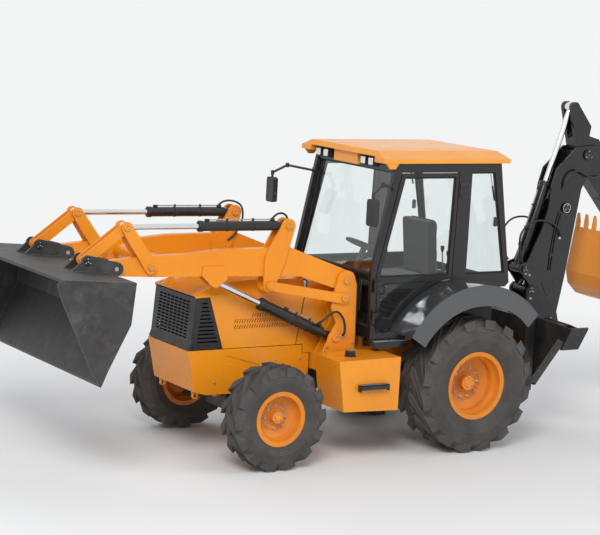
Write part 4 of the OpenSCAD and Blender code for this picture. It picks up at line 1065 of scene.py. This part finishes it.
def pillar_vent(plastic_kit, side):
    """Ribbed vent on the pillar behind the door."""
    plastic_kit.slab(rounded(-12, 2440, 108, 2604, 34, 5), side * PILLAR_FACE, side * 710, 3)
    for i in range(6):
        height = 2462 + 20 * i
        plastic_kit.slab(rounded(4, height, 92, height + 11, 5, 2), side * 709, side * 716, 2)


def window_catch(seal, plastic_kit, side):
    """Gas strut and catch of the rear side window."""
    kit("chassis", "zinc").sweep(mirrored(((-251, 2688, 692), (-286, 2553, 694)), side), 5, 10, 1)
    seal.sweep(mirrored(((-284, 2560, 694), (-322, 2418, 692)), side), 9, 12, 1)
    plastic_kit.slab(rounded(-372, 2160, -330, 2254, 14, 3), side * 684, side * 704, 4)


def sill_treads(bright, side):
    """Anti-slip strip of the sill, and painted highlights along the edges of the sill and its step, made as bright
    metal strips.
    """
    near, far = rising(704, 748, side)
    kit("chassis", "tread").slab(rounded(662, near, 1046, far, 4, 1), 1092.2, 1095.5, 1, "xy")
    # painted highlights: bright metal strips along the outer edge of the black sill and of its step
    near, far = rising(754, 768, side)
    bright.slab(rounded(652, near, 1048, far, 3, 1), 1092.2, 1096, 1, "xy")
    near, far = rising(672, 698, side)
    bright.slab(rounded(660, near, 1046, far, 3, 1), 1150.2, 1154, 1, "xy")


def mirror_glass(side):
    """Glass of a mirror, on the face that looks back."""
    near, far = rising(852, 958, side)
    kit("chassis", "mirror").slab(rounded(near, 2238, far, 2462, 24, 4), 1221.5, 1224.8, 1, "yz")


def roof_lamps(seal, side):
    """Lamps under the roof's front edge: a rubber frame and a lens."""
    for middle in LAMP_PLACES:
        y = middle * side
        seal.slab(rounded(y - 45, 2738, y + 45, 2822, 14, 3), 1001, 1009, 2, "yz")
        kit("chassis", "lens").slab(rounded(y - 37, 2746, y + 37, 2814, 11, 3), 1004, 1013.5, 3.5, "yz")


def dress_cab():
    seal, bright, plastic_kit = (kit("chassis", look) for look in ("seal", "bright", "plastic"))
    for side, name in SIDES:
        pillar_vent(plastic_kit, side)
        window_catch(seal, plastic_kit, side)
        kit("door_" + name, "seal").sweep(mirrored(HANDLE_ROUTE, side), 8, 10, 4)
        sill_treads(bright, side)
        mirror_glass(side)
        # rubber strip in the seam between bonnet and cowl
        seal.sweep(mirrored(SEAM_ROUTE, side), 4.4, 8, 3)
        roof_lamps(seal, side)
    seal.sweep([at(1601, 1644, 392), at(1601, 1645, 0), at(1601, 1644, -392)], 4.4, 8, 2)


# Tanks and bonnet

TANK_TOP, TANK_FACE = 993.5, 1050.3
STEP_EDGE, STEP_TOP = 1106, 760
FILLER_AT, FILLER_GRIPS = (1370, 850), 16
BREATHER = ((22, 0), (22, 10), (15, 14), (15, 30), (18, 32), (18, 44), (12, 48))
TOWER_BOLTS = ((1160, 985), (1165, 1060), (1480, 985), (1450, 1030))
GRILLE_BOLTS = ((2520, 1062), (2800, 1062), (2680, 1500), (2775, 1500))
NOSE_BOLTS = ((1640, 900), (1900, 900), (2560, 720), (1640, 700))


def filler_cap(black, zinc, side):
    """Neck, gripped cap and bright disc of a tank's filler."""
    x, y = FILLER_AT
    foot = at(x, TANK_TOP, y * side)
    black.turned(foot, UP, [(56, 0), (56, 8), (47, 12), (47, 20)], 32)
    for c, s in around(FILLER_GRIPS):
        out = Vector((c, s, 0))
        black.block(foot + (out * 46 + Vector((0, 0, 34))) / 1000, UP, out, (26, 9, 8), 2.0)
    black.turned(foot, UP, [(46, 18), (46, 48), (41, 54)], 32)
    zinc.turned(foot, UP, [(34, 53), (34, 56), (31, 58), (8, 58)], 28)


def tank_step(black, zinc, side):
    """Folded step on a tank's outer face, with its lip, cheeks, tread and bolts."""
    near, far = rising(TANK_FACE, STEP_EDGE, side)
    black.slab(rounded(1076, STEP_TOP - 8, 1396, STEP_TOP, 2, 1), near, far, 1.5)
    black.slab(rounded(1076, 716, 1396, STEP_TOP, 3, 1), *rising(STEP_EDGE - 7, STEP_EDGE, side), 1.5)
    for x in (1076, 1389):
        black.slab([(x, 700), (x + 7, 700), (x + 7, 758), (x, 758)], near, far, 1.0)
    kit("chassis", "tread").slab(rounded(1084, STEP_TOP + 0.2, 1388, 764, 1, 1), near + 4, far - 4, 1.0)
    for x in (1110, 1362):
        zinc.bolt(at(x, 735, TANK_FACE * side), (0, side, 0), 14)


def dress_tanks():
    black, orange, zinc = (kit("chassis", look) for look in ("black", "orange", "zinc"))
    for side in (1, -1):
        filler_cap(black, zinc, side)
        orange.turned(at(1290, TANK_TOP + 1, 800 * side), UP, BREATHER, 20)
        tank_step(black, zinc, side)
        for x, z in TOWER_BOLTS:
            zinc.bolt(at(x, z, 566 * side), (0, side, 0), 20)


def dress_front():
    black, zinc = kit("chassis", "black"), kit("chassis", "zinc")
    for side in (1, -1):
        for x, z in GRILLE_BOLTS:
            black.bolt(at(x, z, 392 * side), (0, side, 0), 13)
        for x, z in NOSE_BOLTS:
            zinc.bolt(at(x, z, 395 * side), (0, side, 0), 17)
    # plain black sheet behind the front slots, put there as painted shade for the inside of the nose
    black.slab(rounded(-366, 1066, 366, 1490, 6, 2), 2744, 2747, 1, "yz")


# Buckets and digging arm

LIP, LIP_BACK = Vector((4101, 929)), Vector((4032, 1081))
EDGE_BOLT_PITCH = 172
TOOTH_PITCH = 132.5
BOOM_BOLTS = ((-1286, 1556), (-1236, 1570))
POST_BOLTS = ((-1293, 1316), (-1330, 1200), (-1590, 760), (-1570, 900))
WELDS = (((-1640, 1520), (-1590, 1400), (-1540, 1322)), ((-1540, 1322), (-1500, 1390), (-1462, 1470)))
# Hose arc on the boom's flank
BOOM_HOSE = (
    (-1648, 1935, 122), (-1650, 1975, 138), (-1590, 2050, 150), (-1470, 2110, 156), (-1335, 2129, 160),
    (-1200, 2090, 158), (-1118, 1990, 150), (-1120, 1850, 142), (-1160, 1730, 134), (-1190, 1690, 118),
)


def dress_buckets():
    down = (LIP - LIP_BACK).normalized()
    out = Vector((down.y, -down.x))
    spot = LIP - down * 85 + out * 10.2
    zinc = kit("loader_bucket", "zinc")
    for i in range(-6, 7):
        zinc.turned(at(spot.x, spot.y, i * EDGE_BOLT_PITCH), (out.x, 0, out.y),
                    [(13, 0), (13, 2), (10, 4), (4, 4)], 18)
    hoe_zinc = kit("hoe_bucket", "zinc")
    for i in range(-2, 3):
        for side in (1, -1):
            foot = at(-2213, 2010, i * TOOTH_PITCH + 22 * side)
            hoe_zinc.turned(foot, (0, side, 0), [(8, 0.1), (8, 3), (5, 5)], 14)


def boom_pipes(black, side):
    """Two steel pipes along the boom's flank, and the clamp that holds them."""
    for shift, rise in ((0, 0), (30, 20)):
        route = ((-1560, 1600), (-1590, 1900), (-1640, 2150 + rise), (-1652, 2190 + rise))
        black.sweep([at(x + shift, z, 127 * side) for x, z in route], 7, 10, 4)
    black.block(at(-1568, 1760, 126 * side), (1, 0, 0), (0, side, 0), (76, 28, 16))


def dress_arm():
    zinc, black, hose = (kit("boom", look) for look in ("zinc", "black", "hose"))
    for side in (1, -1):
        axis = (0, side, 0)
        for x, z in BOOM_BOLTS:
            zinc.bolt(at(x, z, 120 * side), axis, 20)
        for x, z in POST_BOLTS:
            kit("swing_post", "zinc").bolt(at(x, z, 154 * side), axis, 22)
        for route in WELDS:
            black.sweep([at(x, z, 120.5 * side) for x, z in route], 4.5, 8, 5)
        hose.sweep(mirrored(BOOM_HOSE, side), 10, 12, 6)
        zinc.fitting(at(-1648, 1935, 120 * side), axis, 16)
        boom_pipes(black, side)


# Hoses that bend, as (name, radius, two bodies, start and end of the bend, route)
HOSES = (
    ("lift_hose_", 11, "chassis", "lift_barrels", (1385, 1373, 611), (1545, 1285, 595), (
        (1296, 1128, 568), (1292, 1150, 600), (1290, 1220, 611), (1318, 1310, 611), (1391, 1373, 611),
        (1470, 1350, 611), (1530, 1300, 603), (1562, 1265, 575), (1572, 1243, 540))),
    ("tilt_hose_", 10, "tilt_barrels", "loader_arms", (1985, 2298, 470), (1868, 2190, 422), (
        (2092, 2257, 500), (2050, 2288, 492), (1970, 2300, 462), (1890, 2262, 428), (1862, 2170, 421),
        (1890, 2060, 421), (1960, 1960, 424), (2010, 1918, 436))),
    ("dipper_hose_", 11, "boom", "dipper", (-1800, 2640, 160), (-2110, 2568, 100), (
        (-1640, 2440, 121), (-1662, 2530, 146), (-1720, 2610, 158), (-1800, 2640, 160), (-1900, 2600, 158),
        (-1990, 2570, 146), (-2080, 2566, 118), (-2150, 2572, 88))),
)


def dress_hoses():
    """Hoses that bend as a joint turns, and the fitting of the lift hose."""
    for side, suffix in SIDES:
        for name, radius, first, second, start, end, route in HOSES:
            work = Kit(name + suffix, None, HOSE, "black_plastic")
            work.sweep(mirrored(route, side), radius, 12, 7)
            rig.blend(work.finish(), first, second, *mirrored((start, end), side))
        kit("chassis", "zinc").fitting(at(1296, 1128, 566 * side), (0, side, 0), 17)


# Cab floor and seat

# Levers, as (x, y, foot height, top height, lean)
LEVERS = (
    (560, -330, 1122, 1560, -30), (500, -330, 1122, 1540, -20), (640, 180, 1122, 1420, 20),
    (-330, 90, 1562, 1800, 20), (-330, -90, 1562, 1800, 20), (-330, 0, 1562, 1760, 10),
)
KNOB = ((8, 0), (13, 12), (20, 34), (21, 50), (16, 62), (6, 66))
GAITER = ((46, 0), (44, 8), (34, 18), (34, 26), (24, 36), (12, 60), (9, 62))
BELLOWS_FOLDS, FOLD_HIGH = 7, 43


def dress_levers():
    seal, zinc = kit("chassis", "seal"), kit("chassis", "zinc")
    for x, y, foot, top, lean in LEVERS:
        stick = [at(x, foot, y), at(x + lean * 0.4, (foot + top) / 2, y), at(x + lean, top, y)]
        zinc.sweep(stick, 7, 10, 3)
        seal.turned(at(x + lean, top - 8, y), UP, KNOB, 18)
        seal.turned(at(x, foot, y), UP, GAITER, 20)


def dress_seat():
    """Suspension with its bellows, pan and back shell under the cushions."""
    plastic_kit = kit("chassis", "plastic")
    plastic_kit.slab(rounded(122, -198, 418, 198, 20, 3), 1120.5, 1160, 4, "xy")
    for i in range(BELLOWS_FOLDS):
        wide = 190 if i % 2 else 174
        low = 1158 + FOLD_HIGH * i
        long = wide * 0.74
        plastic_kit.slab(rounded(270 - long, -wide, 270 + long, wide, 30, 4), low, low + 46, 12, "xy")
    plastic_kit.slab(rounded(66, -252, 566, 252, 50, 4), 1462, 1512, 10, "xy")
    plastic_kit.slab(rounded(-232, 1600, 232, 2160, 60, 4), 4, 40, 12, "yz")


SEAMS = (-0.45, 0.0, 0.45)
SEAM_WIDE, SEAM_DEEP = 0.035, 0.10
EDGE_SHARE, CROWN_SHARE = 0.72, 0.28
SIDE_PULL = 0.018
PAD_CELLS = 28


def stuffed(u, w, top, size):
    """Point of a stuffed pad at u and w from -1 to 1, on its top (1) or on its base (0)."""
    length, width, height = size
    round_in = (1 - abs(u) ** 6) ** 0.5 * (1 - abs(w) ** 6) ** 0.5
    groove = sum(math.exp(-((u - seam) / SEAM_WIDE) ** 2) for seam in SEAMS)
    level = height * (EDGE_SHARE + CROWN_SHARE * round_in - SEAM_DEEP * groove * round_in)
    pull = 1 - SIDE_PULL * (1 - abs(w) ** 2)
    return u * length / 2 * pull, w * width / 2, level * top


def pad_mesh(name, size):
    """Closed mesh of a stuffed pad: a grid for its base, one for its top and their rim."""
    row = PAD_CELLS + 1
    layer = row * row
    steps = [2 * i / PAD_CELLS - 1 for i in range(row)]
    verts = [stuffed(u, w, top, size) for top in (0, 1) for w in steps for u in steps]
    faces = []
    for j in range(PAD_CELLS):
        for i in range(PAD_CELLS):
            a = j * row + i
            cell = (a, a + 1, a + row + 1, a + row)
            faces.append(cell[::-1])
            faces.append(tuple(layer + corner for corner in cell))
    for i in range(PAD_CELLS):
        for a, b in ((i, i + 1), (i * row + PAD_CELLS, (i + 1) * row + PAD_CELLS),
                     (layer - 1 - i, layer - 2 - i), ((i + 1) * row, i * row)):
            faces.append((a, b, layer + b, layer + a))
    mesh = bpy.data.meshes.new(name)
    mesh.from_pydata(verts, [], faces)
    return mesh


def cushion(name, size, place, tilt):
    """Stuffed pad: crowned on top, drawn in at its sides, with sewn channels across it."""
    mesh = pad_mesh(name, size)
    mesh.transform(Matrix.Translation(place) @ Matrix.Rotation(tilt, 4, "Y"))
    mesh.shade_smooth()
    made = link_object(name, mesh, CLOTH, "chassis", "seat_fabric")
    soft = made.modifiers.new("soft", "SUBSURF")
    soft.levels = soft.render_levels = 1
    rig.padded(made, fill=0.8)
    return made


def make_cushions():
    low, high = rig.box("seat")
    mid = (low + high) / 2
    base = cushion("seat_base_cushion", (0.50, 0.50, 0.12), (mid.x + 0.03, 0, high.z - 0.67), 0.0)
    cushion("seat_back_cushion", (0.54, 0.46, 0.12), (mid.x - 0.20, 0, high.z - 0.30), math.radians(-84))
    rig.replaces(base, "seat")


def main():
    make_camera()
    make_world()
    make_floor()
    dress_nodes()
    make_cushions()
    dress_pins()
    dress_cylinders()
    dress_wheels()
    dress_panes()
    dress_cab()
    dress_tanks()
    dress_front()
    dress_buckets()
    dress_arm()
    dress_hoses()
    dress_levers()
    dress_seat()
    for gathered in kits.values():
        gathered.finish()
    for lamp in LAMPS:
        area_light(*lamp)


main()
bpy.context.scene.view_settings.view_transform = "Standard"
with open("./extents.json", "w") as out:
    json.dump({"cad": CAD_BOX, "visual": [list(corner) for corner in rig.bounds()]}, out)
